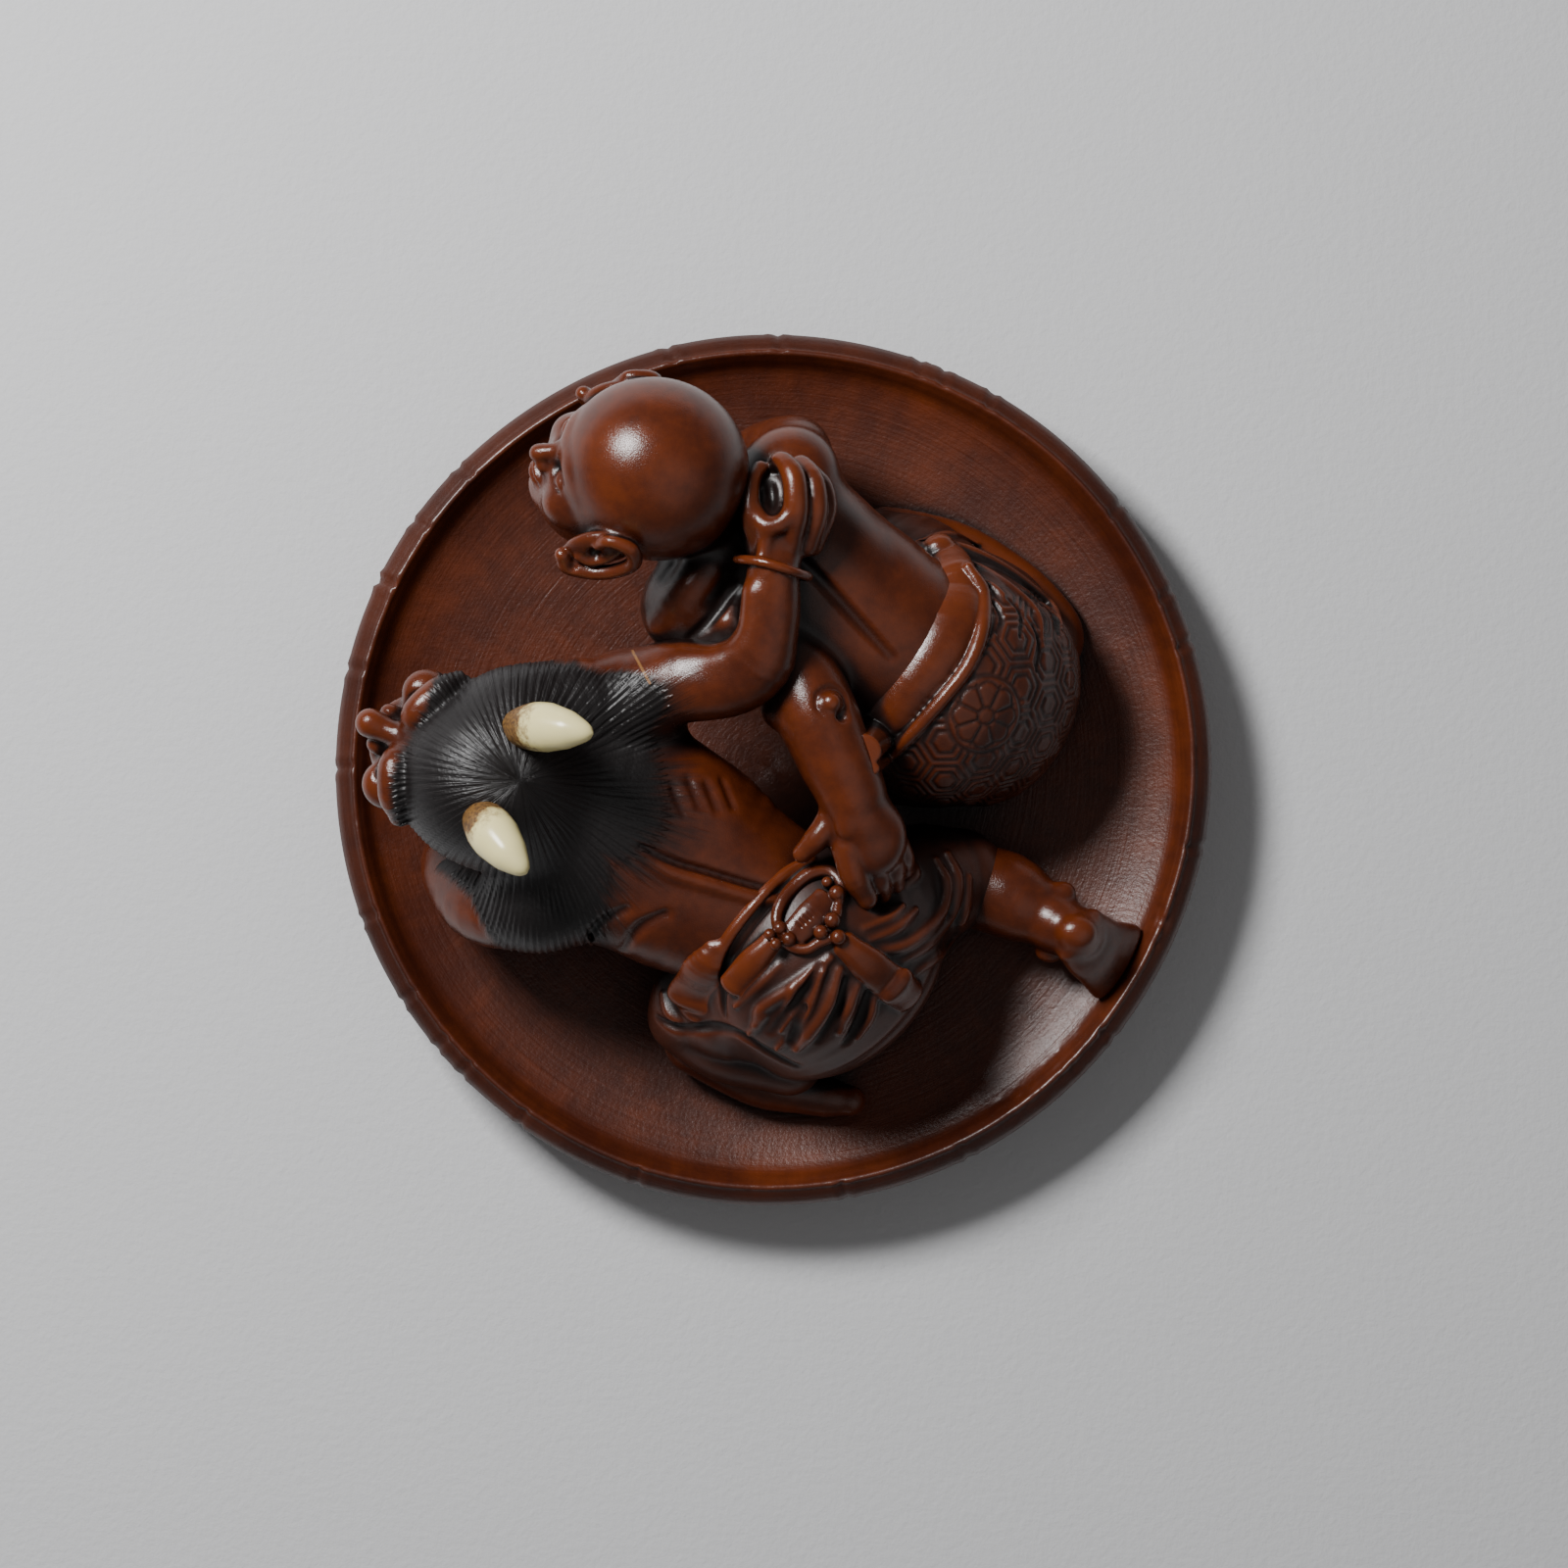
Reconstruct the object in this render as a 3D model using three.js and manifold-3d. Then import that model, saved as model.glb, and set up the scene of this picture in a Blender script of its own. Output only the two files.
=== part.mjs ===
// A netsuke: a bald wrestler and a long-haired, horned demon crouch side by side in an upturned round hat, each
// with an arm thrown over the other's back. Hat and figures are carved from one block of wood, and the two horns
// are let into the demon's head. The hat rests on the flat of its crown.
//
// Millimetres, +Z up, origin on the ground under the hat's centre. Both figures face -X. The wrestler kneels on the
// +Y side and the demon on the -Y side.
import * as THREE from "three";
import { mergeVertices } from "three/addons/utils/BufferGeometryUtils.js";
import Module from "manifold-3d";

// Driving dimensions of the hat, as it lies upturned.
const HAT = {
  radius: 22.5, // to the outside of the hoop round its edge
  height: 5.2,
  floor: 1.9, // thickness of the crown
  footRadius: 6, // the flat it rests on
  hoop: 0.5, // how thick the hoop is
  segments: 60,
};

// Himotoshi: the pair of cord holes underneath, joined by a tunnel. The knot pulls into the wide one.
const CORD_HOLES = {
  wide: { at: [8.6, 7.4], radius: 1.5 },
  narrow: { at: [11.4, 2.0], radius: 1.1 },
  depth: 3.6, // the height of the tunnel's crown
};

const FINENESS = 0.2; // facets flatter than this are merged

const wasm = await Module();
wasm.setup();

const vector = (p) => new THREE.Vector3(...p);

// The manifold-3d solid of a closed three.js geometry.
function solid(geometry) {
  const bare = geometry.clone();
  bare.deleteAttribute("normal");
  bare.deleteAttribute("uv");
  const merged = mergeVertices(bare, 1e-4);
  const index = merged.index.array;
  const triangles = [];
  for (let i = 0; i < index.length; i += 3) {
    const [a, b, c] = index.slice(i, i + 3);
    if (a !== b && b !== c && c !== a) triangles.push(a, b, c);
  }
  const made = new wasm.Manifold(
    new wasm.Mesh({
      numProp: 3,
      vertProperties: merged.attributes.position.array,
      triVerts: new Uint32Array(triangles),
    }),
  );
  if (made.volume() < 0) throw new Error("a piece is inside out");
  return made;
}

// The three.js geometry of a manifold-3d solid.
function geometryOf(made) {
  const mesh = made.getMesh();
  const geometry = new THREE.BufferGeometry();
  geometry.setAttribute("position", new THREE.BufferAttribute(new Float32Array(mesh.vertProperties), 3));
  geometry.setIndex(new THREE.BufferAttribute(new Uint32Array(mesh.triVerts), 1));
  geometry.computeVertexNormals();
  return geometry;
}

const join = (pieces) => pieces.reduce((whole, piece) => whole.add(piece));

// Fills the pockets that joined pieces seal between them: such a pocket's shell is inside out.
const fillPockets = (made) => join(made.decompose().filter((shell) => shell.volume() > 0));

// A form swept along a smooth curve. Each station of the spine has a size: one radius, or a half width along
// `across` and a half depth at right angles to it. `on` gives a point of its skin: `turn` is in degrees, 0 at the
// end of `across` and 90 on top.
function sweep(spine, sizes, across = null) {
  const curve = new THREE.CatmullRomCurve3(spine.map(vector), false, "centripetal");
  const spans = spine.length - 1;
  const wide = across ? vector(across) : bendNormal(curve);
  const pair = (size) => (Array.isArray(size) ? size : [size, size]);
  const frame = (t) => {
    const i = Math.min(Math.floor(t * spans), spans - 1);
    const share = THREE.MathUtils.smoothstep(t * spans - i, 0, 1);
    const [a, b] = [pair(sizes[i]), pair(sizes[i + 1])];
    const [width, depth] = [0, 1].map((k) => THREE.MathUtils.lerp(a[k], b[k], share));
    const ahead = curve.getTangent(t);
    const side = wide.clone().addScaledVector(ahead, -wide.dot(ahead)).normalize();
    const up = new THREE.Vector3().crossVectors(ahead, side);
    return { centre: curve.getPoint(t), ahead, side, up, width, depth };
  };
  const on = (t, turn, lift = 0) => {
    const { centre, side, up, width, depth } = frame(t);
    const angle = THREE.MathUtils.degToRad(turn);
    return centre
      .addScaledVector(side, (width + lift) * Math.cos(angle))
      .addScaledVector(up, (depth + lift) * Math.sin(angle))
      .toArray();
  };
  return { spans, frame, on };
}

// A direction that is never along the curve: the normal of the plane it bends in.
function bendNormal(curve) {
  const [a, b, c] = [0, 0.5, 1].map((t) => curve.getPoint(t));
  const normal = b.clone().sub(a).cross(c.clone().sub(a));
  if (normal.length() > 0.05 * c.distanceTo(a) ** 2) return normal.normalize();
  const along = c.sub(a).normalize();
  return Math.abs(along.z) < 0.8 ? new THREE.Vector3(0, 0, 1) : new THREE.Vector3(1, 0, 0);
}

// The solid of a sweep, with rounded ends: a sphere whose rows of vertices are moved onto it.
function fill({ spans, frame }, { sides = 8, perSpan = 2, round = 0.55 } = {}) {
  const rings = spans * perSpan + 1;
  const body = new THREE.SphereGeometry(1, sides, rings + 3);
  const place = body.attributes.position;
  for (let i = 0; i < place.count; i++) {
    const row = Math.floor(i / (sides + 1)); // rows 0 and 1 round off the start, the last two the far end
    const { centre, ahead, side, up, width, depth } = frame(THREE.MathUtils.clamp((row - 2) / (rings - 1), 0, 1));
    const end = row < 2 ? -1 : row > rings + 1 ? 1 : 0;
    const pole = row === 0 || row === rings + 3;
    const share = pole ? 0 : end ? 0.72 : 1;
    const push = end * round * Math.min(width, depth) * (pole ? 1 : 0.62);
    const angle = ((i % (sides + 1)) / sides) * 2 * Math.PI;
    const at = centre
      .addScaledVector(ahead, push)
      .addScaledVector(side, share * width * Math.cos(angle))
      .addScaledVector(up, share * depth * Math.sin(angle));
    place.setXYZ(i, at.x, at.y, at.z);
  }
  return solid(faceOut(body));
}

const loft = (spine, sizes, { across, ...fineness } = {}) => fill(sweep(spine, sizes, across), fineness);

// Turns a closed geometry's faces outwards.
function faceOut(geometry) {
  const place = geometry.attributes.position;
  const index = geometry.index.array;
  const corner = (i) => new THREE.Vector3().fromBufferAttribute(place, index[i]);
  let volume = 0;
  for (let i = 0; i < index.length; i += 3) volume += corner(i).dot(corner(i + 1).cross(corner(i + 2)));
  if (volume < 0) for (let i = 0; i < index.length; i += 3) [index[i], index[i + 1]] = [index[i + 1], index[i]];
  return geometry;
}

// An ellipsoid whose first radius lies along `forward` and whose third lies nearest to `up`.
function ball(at, radii, { forward = [1, 0, 0], up = [0, 0, 1], sides = 12, rows = 8 } = {}) {
  const x = vector(forward).normalize();
  const y = vector(up).cross(x).normalize();
  const z = x.clone().cross(y);
  const turn = new THREE.Matrix4().makeBasis(x, y, z).setPosition(...at);
  const body = new THREE.SphereGeometry(1, sides, rows).rotateX(Math.PI / 2).scale(...radii).applyMatrix4(turn);
  return solid(body);
}

// A head's own frame: points are given as [forward, left, up] from the middle of the skull.
function headFrame({ at, forward, up }) {
  const f = vector(forward).normalize();
  const l = vector(up).cross(f).normalize();
  const u = f.clone().cross(l);
  const turn = new THREE.Matrix4().makeBasis(f, l, u).setPosition(...at);
  return {
    point: (p) => vector(p).applyMatrix4(turn).toArray(),
    axes: { forward: f.toArray(), up: u.toArray() },
    left: l.toArray(),
  };
}

// Fingers of a fist or a hand: each is a short loft through its knuckles.
const fingersOf = (knuckles, radii = [0.66, 0.62, 0.5]) =>
  knuckles.map((finger) => loft(finger, radii, { sides: 6, perSpan: 1 }));

// A hand laid flat on the floor: its palm, and fingers fanned along `forward`.
function handFlat(at, forward, thumbSide) {
  const ahead = vector(forward).normalize();
  const beside = new THREE.Vector3(0, 0, 1).cross(ahead).multiplyScalar(thumbSide);
  const from = (along, aside, lift) =>
    vector(at)
      .addScaledVector(ahead, along)
      .addScaledVector(beside, aside)
      .add(new THREE.Vector3(0, 0, lift))
      .toArray();
  const knuckles = [-1.05, -0.35, 0.35, 1.05].map((aside, i) => [
    from(0.8, aside, 0.25),
    from(2.0, aside * 1.25, 0.3),
    from(2.9 - 0.25 * Math.abs(i - 1.4), aside * 1.4, -0.1),
  ]);
  const thumb = [from(-0.4, 1.2, 0.1), from(0.2, 1.7, 0.1), from(0.9, 2.0, 0)];
  return [
    ball(at, [1.7, 1.55, 0.8], { forward, sides: 8, rows: 6 }),
    ...fingersOf([...knuckles, thumb], [0.45, 0.42, 0.36]),
  ];
}

// ---- the hat ----

// Half the hat's section, from the axis out along the underside, round the hoop and back over the inside.
function hat() {
  const { radius, height, floor, footRadius, hoop, segments } = HAT;
  const lip = radius - hoop;
  const under = new THREE.SplineCurve([
    new THREE.Vector2(footRadius, 0),
    new THREE.Vector2(radius * 0.5, 0.55),
    new THREE.Vector2(radius * 0.74, 1.75),
    new THREE.Vector2(lip, height - 1.5),
  ]).getPoints(5);
  const inside = new THREE.SplineCurve([
    new THREE.Vector2(lip - 0.5, height - 0.15),
    new THREE.Vector2(radius * 0.91, height - 1.25),
    new THREE.Vector2(radius * 0.76, height - 2.2),
    new THREE.Vector2(radius * 0.5, floor + 0.35),
    new THREE.Vector2(radius * 0.2, floor),
  ]).getPoints(6);
  const section = [
    new THREE.Vector2(0, 0),
    ...under,
    new THREE.Vector2(radius, height - 1.15),
    new THREE.Vector2(radius, height - 0.45),
    new THREE.Vector2(lip, height - 0.25),
    new THREE.Vector2(lip - 0.15, height),
    ...inside,
    new THREE.Vector2(0, floor),
  ];
  return solid(faceOut(new THREE.LatheGeometry(section, segments).rotateX(Math.PI / 2)));
}

// The tunnel that the cord runs through, widening to its two mouths.
function cordTunnel() {
  const { wide, narrow, depth } = CORD_HOLES;
  const middle = [(wide.at[0] + narrow.at[0]) / 2, (wide.at[1] + narrow.at[1]) / 2];
  const spine = [
    [...wide.at, -1],
    [...wide.at, 1.6],
    [...middle, depth],
    [...narrow.at, 1.6],
    [...narrow.at, -1],
  ];
  const sizes = [wide.radius, wide.radius, narrow.radius, narrow.radius, narrow.radius];
  return loft(spine, sizes, { sides: 10 });
}

// ---- the wrestler ----

const WRESTLER = {
  across: [0.55, 0.83, 0.03], // from his left shoulder to his right
  hipsAcross: [0.43, 0.9, 0],
  head: { at: [-5.9, 15.0, 17.2], forward: [-0.9, 0.13, 0.42], up: [0.44, 0.4, 0.8] },
  skull: 4.65,
};

function wrestlerHead() {
  const { skull } = WRESTLER;
  const { point, axes, left } = headFrame(WRESTLER.head);
  const part = (at, radii, sides = 8, rows = 6) => ball(point(at), radii, { ...axes, sides, rows });
  const ear = (side) =>
    loft(
      [
        [0.2, side * 4.3, -0.7],
        [0.3, side * 5.0, -1.6],
        [1.1, side * 5.1, -2.9],
        [1.9, side * 4.5, -4.0],
      ].map(point),
      [0.6, 0.85, 0.7, 0.75],
      { across: left, sides: 6, perSpan: 1 },
    );
  return join([
    part([0, 0, 0], [skull * 1.03, skull * 0.98, skull], 20, 14),
    part([1.3, 0, -2.4], [3.6, 3.7, 3.7], 14, 10), // face
    part([2.9, 0, -4.3], [1.5, 1.9, 1.4]), // chin
    part([4.7, 0, -2.1], [1.1, 0.75, 1.0]), // nose
    part([3.9, 0, -0.7], [1.0, 2.9, 0.6]), // brow
    part([4.1, 0, -3.8], [0.9, 1.3, 0.6]), // lips
    ...[1, -1].map((side) => part([3.2, side * 2.2, -2.5], [1.3, 1.2, 1.2])), // cheeks
    ear(1),
    ear(-1),
  ]);
}

function wrestlerBody() {
  const across = WRESTLER.across;
  const blade = { forward: [0.75, -0.65, -0.1], sides: 10, rows: 8 };
  return join([
    // back, from the nape to the hips
    loft(
      [
        [-3.0, 12.6, 12.3],
        [-0.4, 10.9, 11.7],
        [3.2, 8.3, 11.0],
        [6.2, 6.4, 9.9],
        [9.0, 4.6, 8.4],
      ],
      [[3.6, 2.6], [5.4, 3.7], [5.0, 3.8], [4.6, 3.8], [4.6, 4.0]],
      { across, sides: 16, perSpan: 2 },
    ),
    loft([[-1.2, 12, 13], [-3.4, 12.9, 14.4], [-4.8, 13.7, 15.4]], [2.7, 2.4, 2.5], { sides: 12 }), // neck
    ball([0.9, 14.9, 12.6], [2.5, 2.4, 2.3]), // right shoulder
    ball([-4.1, 8.2, 13.0], [2.2, 2.4, 2.2]), // left shoulder
    ball([-2.0, 9.9, 13.9], [2.9, 1.5, 1.5], { forward: [0.65, 0.75, 0], sides: 10, rows: 8 }), // muscle above it
    ball([2.7, 10.9, 12.9], [3.2, 2.4, 2.1], blade), // shoulder blades
    ball([-0.4, 7.6, 12.9], [3.0, 2.2, 2.0], blade),
    ball([1.0, 9.0, 7.8], [4.2, 4.4, 3.0], { ...blade, sides: 12 }), // chest and belly
    // left arm, over the demon's back
    loft(
      [
        [-4.2, 8.0, 13.1],
        [-1.2, 6.2, 13.6],
        [1.8, 4.6, 14.3],
        [3.5, 1.3, 14.6],
        [4.4, -1.6, 14.0],
      ],
      [2.2, 2.1, 1.95, 1.85, 1.45],
      { sides: 10, perSpan: 2 },
    ),
    ball([2.9, 3.4, 15.7], [0.8, 0.8, 0.75], { sides: 8, rows: 6 }), // point of the elbow
    // right arm, down to the floor
    loft(
      [
        [0.9, 14.9, 12.4],
        [1.2, 16.2, 9.4],
        [-0.4, 16.2, 6.6],
        [-2.2, 15.3, 4.2],
      ],
      [2.0, 1.75, 1.55, 1.15],
      { sides: 10, perSpan: 2 },
    ),
    ...handFlat([-3.1, 14.6, 3.1], [-1, -0.35, 0], 1),
  ]);
}

// The hand that grips the demon's sash.
function wrestlerGrip() {
  const knuckles = [
    [[5.9, -4.4, 13.7], [6.5, -5.6, 12.7], [6.0, -6.3, 11.5]],
    [[5.3, -4.9, 13.9], [5.8, -6.3, 12.8], [5.3, -7.0, 11.6]],
    [[4.6, -5.0, 13.9], [4.9, -6.6, 12.9], [4.7, -7.4, 11.9]],
    [[3.9, -4.6, 13.6], [4.1, -5.9, 12.9], [4.2, -6.7, 12.0]],
  ];
  const thumb = [[3.8, -2.9, 13.6], [2.9, -3.6, 13.4], [2.0, -4.1, 13.0]];
  return join([ball([4.8, -3.3, 13.8], [2.1, 1.75, 1.35], { forward: [0.2, -1, -0.15] }), ...fingersOf([...knuckles, thumb])]);
}

function wrestlerRobe() {
  const across = WRESTLER.hipsAcross;
  const band = (from, to, size) =>
    loft([from, to], [size, size], { across, sides: 20, perSpan: 1, round: 0.15 });
  return join([
    // the robe over his hips, down to the floor
    loft(
      [
        [7.4, 5.0, 9.4],
        [9.5, 4.1, 8.4],
        [11.5, 3.5, 6.4],
        [12.4, 3.3, 4.6],
      ],
      [[4.9, 4.2], [6.3, 4.9], [5.5, 4.2], [3.8, 2.6]],
      { across, sides: 18, perSpan: 2 },
    ),
    ball([9.0, 3.8, 5.0], [5.0, 5.9, 3.2], { forward: [0.9, -0.43, 0], sides: 14 }),
    band([6.6, 6.1, 10.3], [8.1, 5.4, 9.9], [4.95, 4.2]), // sash
    band([8.5, 5.2, 9.8], [9.1, 4.9, 9.6], [5.45, 4.5]), // the roll of cloth under it
    // hem over the right knee
    loft(
      [
        [6.4, 10.6, 9.0],
        [9.9, 10.7, 7.0],
        [12.6, 9.5, 5.4],
        [14.2, 7.6, 4.6],
      ],
      [0.9, 0.95, 0.95, 0.8],
    ),
    // thighs under the robe
    loft([[9.6, 8.0, 6.4], [7.6, 10.4, 5.0], [5.6, 11.4, 4.2]], [3.0, 2.5, 1.9], { sides: 10 }),
    loft([[7.8, 1.2, 6.4], [4.9, 0.8, 5.2], [2.8, 1.6, 4.2]], [2.9, 2.5, 2.0], { sides: 10 }),
    // right shin and foot, along the floor
    loft(
      [
        [5.8, 12.0, 3.6],
        [9.4, 11.6, 3.4],
        [12.9, 9.6, 3.5],
        [14.7, 7.0, 3.6],
        [14.3, 5.2, 3.6],
      ],
      [1.5, 1.1, 1.1, 1.1, 0.9],
      { sides: 8 },
    ),
  ]);
}

// ---- the demon ----

const DEMON = {
  across: [0.48, 0.87, 0.05], // from his left shoulder to his right
  hipsAcross: [0.71, 0.7, 0],
  head: { at: [-14.3, -0.3, 14.3], forward: [-0.84, 0.37, 0.39], up: [0.36, -0.16, 0.92] },
  skull: 4.7,
};

function demonHead() {
  const { skull } = DEMON;
  const { point, axes } = headFrame(DEMON.head);
  const part = (at, radii, sides = 8, rows = 6) => ball(point(at), radii, { ...axes, sides, rows });
  return join([
    part([0, 0, 0], [skull, skull * 0.97, skull], 16, 10),
    part([1.4, 0, -2.3], [3.7, 3.8, 3.8], 14, 10), // face
    part([3.2, 0, -4.6], [1.6, 2.0, 1.3]), // chin
    ...[1, -1].map((side) => part([4.1, side * 1.7, -0.8], [1.2, 1.7, 0.9])), // brows
    part([5.7, 0, -1.9], [1.3, 1.1, 0.9]), // nose
    ...[1, -1].map((side) => part([5.2, side * 0.95, -2.2], [0.8, 0.6, 0.6])), // nostrils
    part([4.5, 0, -3.5], [1.1, 2.0, 0.7]), // lips
    ...[1, -1].map((side) => part([3.4, side * 2.4, -2.4], [1.4, 1.3, 1.1])), // cheeks
  ]);
}

function demonHair() {
  const { skull, across } = DEMON;
  const { point, axes } = headFrame(DEMON.head);
  const cap = { middle: [-0.9, 0, 0.5], radii: [skull + 0.5, skull + 0.7, skull + 0.2] };
  const mane = sweep(
    [
      [-14.0, -0.4, 15.4],
      [-11.2, -2.2, 14.5],
      [-8.4, -3.4, 13.3],
      [-5.8, -4.4, 12.4],
    ],
    [[4.9, 3.6], [5.6, 3.2], [5.0, 2.7], [2.9, 2.0]],
    across,
  );
  // a lock lies on the cap, from near its whorl (fall 0) towards its edge, in the direction `turn`
  const onCap = (turn, fall) => {
    const [round, down] = [turn, fall].map(THREE.MathUtils.degToRad);
    const skin = [Math.sin(down) * Math.cos(round), Math.sin(down) * Math.sin(round), Math.cos(down)];
    return point(skin.map((share, i) => cap.middle[i] + share * (cap.radii[i] + 0.05)));
  };
  const lock = (spine) => loft(spine, [0.3, 0.55, 0.6, 0.35], { sides: 6, perSpan: 1 });
  const sides = [35, 60, 85, 110, 250, 275, 300, 325, 0];
  return join([
    ball(point(cap.middle), cap.radii, { ...axes, sides: 18, rows: 12 }),
    fill(mane, { sides: 14 }),
    ...sides.map((turn) => lock([18, 40, 62, 84].map((fall) => onCap(turn, fall)))),
    ...[22, 44, 66, 88, 110, 132, 154].map((turn) => lock([0.3, 0.5, 0.7, 0.9].map((t) => mane.on(t, turn, 0.05)))),
    // over either shoulder
    loft([[-13.2, -3.6, 14.2], [-12.6, -6.4, 12.6], [-10.0, -8.0, 11.4]], [[3.4, 2.6], [2.9, 2.2], [1.7, 1.4]], {
      sides: 10,
    }),
    loft([[-12.6, 3.0, 14.4], [-9.6, 3.9, 13.9], [-7.0, 3.6, 13.6]], [[3.0, 2.4], [2.5, 2.0], [1.4, 1.3]], {
      sides: 10,
    }),
  ]);
}

function demonBody() {
  const across = DEMON.across;
  const blade = { forward: [0.8, -0.6, -0.1], sides: 10, rows: 8 };
  return join([
    loft(
      [
        [-10.6, -1.6, 11.8],
        [-8.2, -2.8, 11.1],
        [-5.0, -4.5, 10.5],
        [-1.8, -6.6, 9.9],
        [1.4, -9.0, 9.0],
      ],
      [[3.8, 2.6], [6.0, 3.6], [5.6, 3.6], [4.9, 3.5], [4.9, 3.8]],
      { across: [0.6, 0.8, 0.03], sides: 16, perSpan: 2 },
    ),
    ball([-7.0, 3.2, 12.5], [2.8, 2.5, 2.4]), // right shoulder
    ball([-11.8, -6.8, 11.4], [2.7, 2.4, 2.4]), // left shoulder
    ball([-4.2, -1.6, 12.0], [3.2, 2.3, 1.9], blade), // shoulder blades
    ball([-6.8, -6.4, 11.7], [3.0, 2.3, 1.9], blade),
    ball([-5.0, -4.6, 7.2], [4.6, 4.6, 2.8], { ...blade, sides: 12 }), // chest and belly
    // right arm, over the wrestler's back
    loft(
      [
        [-7.6, 3.2, 12.6],
        [-4.6, 4.3, 14.2],
        [-1.2, 4.6, 15.8],
        [0.1, 7.1, 16.6],
        [0.3, 9.8, 16.9],
      ],
      [2.5, 2.35, 2.3, 1.75, 1.5],
      { across, sides: 10, perSpan: 2 },
    ),
    loft([[-1.8, 10.5, 17.0], [0.2, 10.2, 18.8], [2.3, 9.5, 17.0]], [0.28, 0.28, 0.28], { sides: 6 }), // bangle
    // left arm, down to the floor
    loft(
      [
        [-11.8, -6.9, 11.4],
        [-14.5, -7.0, 9.6],
        [-16.2, -5.4, 7.0],
        [-16.6, -2.8, 4.6],
      ],
      [2.3, 1.95, 1.7, 1.25],
      { sides: 10, perSpan: 2 },
    ),
    ...handFlat([-16.5, -1.6, 3.8], [-0.3, 1, 0.1], -1),
  ]);
}

// The hand that clasps the wrestler's far shoulder, with its thumb and first finger in a ring.
function demonClasp() {
  const knuckles = [
    [[0.0, 12.5, 18.0], [1.3, 14.3, 18.0], [0.4, 15.6, 17.2], [-0.7, 15.4, 16.4]],
    [[1.4, 12.5, 17.6], [2.1, 14.4, 17.4], [1.7, 15.5, 16.6], [1.0, 15.8, 15.6]],
    [[2.0, 12.2, 17.0], [2.7, 14.0, 16.7], [2.5, 15.1, 15.8], [2.0, 15.5, 15.0]],
  ];
  const thumb = [[-0.8, 11.8, 17.6], [-1.6, 13.3, 17.7], [-1.5, 14.8, 17.2], [-0.9, 15.6, 16.6]];
  return join([
    ball([0.5, 12.2, 16.7], [2.3, 2.1, 1.5], { forward: [0.05, 1, 0] }),
    ...fingersOf([...knuckles, thumb], [0.75, 0.7, 0.62, 0.5]),
  ]);
}

// The cloth round his hips, gathered into the knot of the sash.
function demonSkirt() {
  const cloth = sweep(
    [
      [0.0, -7.7, 9.9],
      [1.8, -9.2, 9.5],
      [3.5, -10.5, 7.8],
      [4.4, -11.2, 5.6],
    ],
    [[5.2, 4.1], [6.2, 4.8], [6.2, 4.5], [4.8, 3.2]],
    DEMON.hipsAcross,
  );
  // the folds fan out from the knot to the hem
  const knot = { t: 0.12, turn: 86 };
  const fold = (turn) => {
    const hem = { t: 0.95 - 0.008 * Math.abs(turn - knot.turn), turn };
    const along = (share) => [knot, hem].map(({ t, turn: at }) => [t, at]).reduce((a, c) => a.map((v, i) => v + (c[i] - v) * share));
    return loft([0.3, 0.52, 0.76, 1].map((share) => cloth.on(...along(share), 0.1)), [0.3, 0.5, 0.6, 0.4], {
      sides: 6,
      perSpan: 1,
    });
  };
  const folds = [10, 26, 42, 58, 74, 90, 106, 122, 138, 154];
  return join([
    fill(cloth, { sides: 18 }),
    ...folds.map(fold),
    // thighs
    loft([[4.6, -7.2, 7.8], [7.4, -5.9, 6.6], [9.6, -5.6, 5.6]], [3.6, 3.0, 2.5], { sides: 12 }),
    loft([[0.4, -10.6, 7.8], [-2.0, -11.8, 7.4], [-4.0, -12.0, 7.2]], [3.6, 3.1, 2.3], { sides: 12 }),
    loft([[-4.4, -12.6, 6.4], [-2.4, -14.2, 5.9], [0.8, -15.0, 5.6]], [2.0, 2.0, 1.8], { sides: 10 }),
    ball([2.5, -9.6, 5.0], [5.0, 4.6, 2.8], { forward: [0.85, -0.5, 0] }),
  ]);
}

function demonLegs() {
  return join([
    // right calf and ankle, and the foot that braces against the hat with its sole out
    loft([[9.4, -5.7, 5.2], [11.9, -6.5, 5.4], [13.9, -7.5, 6.0], [15.6, -8.6, 7.0]], [2.2, 2.2, 1.7, 1.4], {
      sides: 10,
    }),
    loft([[15.7, -8.5, 7.4], [16.6, -9.3, 6.0], [17.7, -10.0, 4.4]], [[1.5, 0.9], [1.75, 0.9], [2.1, 0.7]], {
      across: [0.45, 0.89, 0],
      sides: 10,
    }),
    ball([14.4, -6.2, 6.3], [0.7, 0.7, 0.6], { sides: 8, rows: 6 }), // ankle bone
    // left shin and foot, under the thigh
    loft([[-4.0, -14.0, 4.8], [-0.8, -15.8, 4.2], [2.2, -16.7, 4.0], [4.0, -17.0, 4.2]], [1.6, 1.5, 1.1, 0.8], {
      sides: 10,
    }),
  ]);
}

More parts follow.
